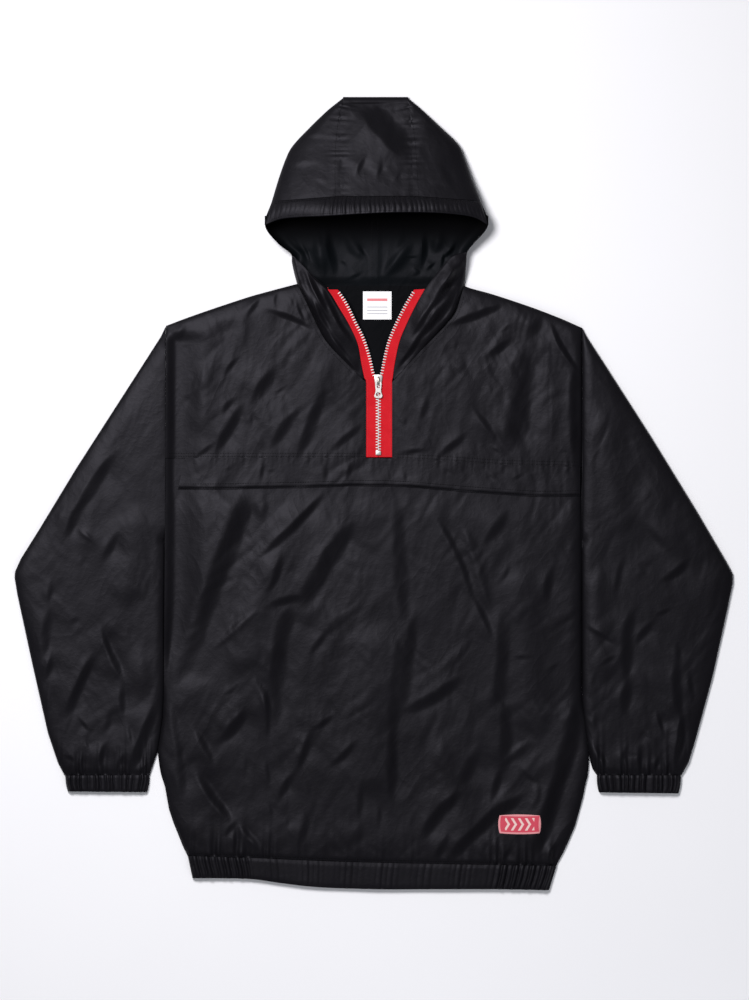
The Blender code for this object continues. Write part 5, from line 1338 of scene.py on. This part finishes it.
def embroidery():
    """Satin stitch in fine slanting ridges. Chevrons are a sine of u + 0.7 |v|, and the rim is a strip
    along the edges."""
    look = Graph("embroidery", Specular_IOR_Level=0.3, Sheen_Weight=0.3)
    u, v = look.cloth_uv()
    middle_u, middle_v = u - PATCH_HALF[0], v - PATCH_HALF[1]
    chevron = abs((middle_u + abs(middle_v) * 0.7).wave(17.0))
    pale = (chevron.step(0.80, 0.88) * (1 - abs(middle_u).step(17.5, 18.0))
            * (1 - abs(middle_v).step(7.2, 7.6)))
    rim = 1 - (1 - abs(middle_u).step(PATCH_HALF[0] - 2.6, PATCH_HALF[0] - 2.2)) * (
        1 - abs(middle_v).step(PATCH_HALF[1] - 2.4, PATCH_HALF[1] - 2.0))
    threads = (u + v * 0.5).wave(0.8) * 0.5 + 0.5
    colour = look.mix(pale, (0.60, 0.06, 0.10), (0.80, 0.58, 0.55))
    colour = look.mix(rim, colour, (0.74, 0.30, 0.32))
    return look.finish(colour, 0.6 + 0.15 * threads, look.bump(threads, 0.2, 0.7))


s, t = np.meshgrid(np.linspace(-1, 1, 74), np.linspace(-1, 1, 36))
x = PATCH_CENTRE[0] + PATCH_HALF[0] * s * np.sqrt(1 - PATCH_CORNER * t * t)
y = PATCH_CENTRE[1] + PATCH_HALF[1] * t * np.sqrt(1 - PATCH_CORNER * s * s * 1.6)
from_rim = np.minimum((1 - np.abs(s)) * PATCH_HALF[0], (1 - np.abs(t)) * PATCH_HALF[1])
z = body_height(x, y) + 0.75 + 0.5 * np.exp(-((from_rim - 1.2) / 1.0) ** 2)
sew("hem_patch", [np.stack([x, y, z], axis=-1)],
    wall=PATCH_WALL, materials=(embroidery(),))

# ---- Stitching -----------------------------------------------------------------------------------
# Lockstitch in black thread along the seams, red on the tapes and white round the label. Each
# stitch is a short thread with rounded ends that dips into the cloth at both of them.
THREAD = 0.27
ON_CLOTH = 0.1  # a thread's middle over the face that it is sewn to


def thread(name, colour):
    """Sewing thread, mottled by its twist."""
    look = Graph(name, Roughness=0.6, Specular_IOR_Level=0.12)
    twist = look.noise(look.place(), 900.0, 1.0)
    look.give(look.shader, {"Base Color": look.mix(twist, colour, tuple(0.7 * c for c in colour))})
    return look.material


def stitches(name, rows, material, pitch=3.0):
    """Rows are paths on the cloth's face; every stitch is a small spindle that follows its path."""
    spindle = round_box[None] * np.array([0.45, 1.0, 0.45])[:, None, None] * (0, THREAD, THREAD * 0.8)
    spindle[..., 0] = np.array([-0.36, 0, 0.36])[:, None] * pitch
    spindle[1, :, 2] += 0.12
    made = []
    for path in rows:
        at = np.arange(pitch / 2, lengths(path)[-1], pitch)
        run = at_lengths(path, at + 0.4) - at_lengths(path, at - 0.4)
        made.append(placed(spindle, at_lengths(path, at), run))
    return add_piece(name, closed_mesh(name, np.concatenate(made)), [material])


def body_row(path):
    """A stitch row on the front along a plan path."""
    return on_body(along(path, np.linspace(0, 1, 400)), ON_CLOTH)


def shifted(path, dx, dy):
    """The path moved over by dx and dy."""
    return [(x + dx, y + dy) for x, y in path]


black_thread = thread("black_thread", (0.003, 0.003, 0.004))
chest_left = [(-246, 42.6), (-91.8, 42.6), (-11, 42.6)]
chest_right = [(25, 42), (83.4, 39), (154.2, 34.2), (246, 31.9)]
rows = [body_row(shifted(path, 0, gap)) for path in (chest_left, chest_right) for gap in (1.8, 5.6)]
for gap in (2.2, 6.6):
    plan = along(spline(FLAP_EDGE), np.linspace(0.005, 0.995, 500)) + (0, gap)
    rows.append(on_body(plan, FLAP_LIFT * (1 - gap / 36) ** 2 + ON_CLOTH))
for side, neck in NECKS.items():
    rows.append(body_row(shifted(spline(neck)[4:-6], side * 3.0, -2.0)))
    zip_side = ZIP_EDGES[side] + side * 2.2
    rows.append(body_row([(zip_side, 132), (zip_side, 44.5)]))
rows.append(on_body(along(spline(HEM_SEAM), np.linspace(0.01, 0.99, 500)) + (0, 3.0), ON_CLOTH))
stitches("body_stitching", rows, black_thread)


def grid_row(grid, at_rows, at_columns, lift=ON_CLOTH):
    """A path on a grid through fractional rows and columns, lifted off its face."""
    r, c = np.broadcast_arrays(np.asarray(at_rows, float), np.asarray(at_columns, float))
    r0, c0 = np.clip(r.astype(int), 0, grid.shape[0] - 2), np.clip(c.astype(int), 0, grid.shape[1] - 2)
    fr, fc = (r - r0)[:, None], (c - c0)[:, None]
    low, high = (blend(grid[r0 + n, c0], grid[r0 + n, c0 + 1], fc) for n in (0, 1))
    return blend(low, high, fr) + (0, 0, lift)


hood_rows = []
for upper, front in hood_grids.values():
    hood_rows.append(grid_row(upper, np.linspace(8, brim, 200), 2.0))
    hood_rows.append(grid_row(front, np.linspace(28, 78, 200), 31.0))
INSIDE_FROM = brim + 80  # the centre panel's first row that shows inside the hood
inside = centre_grid[INSIDE_FROM:, :, 0]
for x_line in (-1.8, 5.4):
    column = (x_line - inside[:, 0]) / (inside[:, -1] - inside[:, 0]) * (inside.shape[1] - 1)
    hood_rows.append(grid_row(centre_grid, np.arange(INSIDE_FROM, len(centre_grid)), column, 0.7))
for row in (2.0, 16.5):
    hood_rows.append(grid_row(casing, row, np.linspace(10, 370, 500)))
stitches("hood_stitching", hood_rows, black_thread)

tape_rows = [grid_row(tape_grids[side], np.linspace(1, 90, 300), 1.6, 0.15) for side in (-1, 1)]
row_y, row_z = ZIP_END + 1.6, ZIP_HEIGHT + 0.2
tape_rows.append(np.linspace((-7.5, row_y, row_z), (20.5, row_y, row_z), 50))
stitches("tape_stitching", tape_rows, thread("red_thread", (0.72, 0.06, 0.07)), 2.4)
low, high = np.array(LABEL_LOW) + 1.6, np.array(LABEL_HIGH) - 1.6
label_corners = [low, (high[0], low[1]), high, (low[0], high[1]), low]
plan = along(label_corners, np.linspace(0, 1, 200))
label_row = raised(plan, label_height(plan[:, 0], plan[:, 1]) + ON_CLOTH)
stitches("label_stitching", [label_row], thread("white_thread", (0.8, 0.8, 0.8)), 2.2)
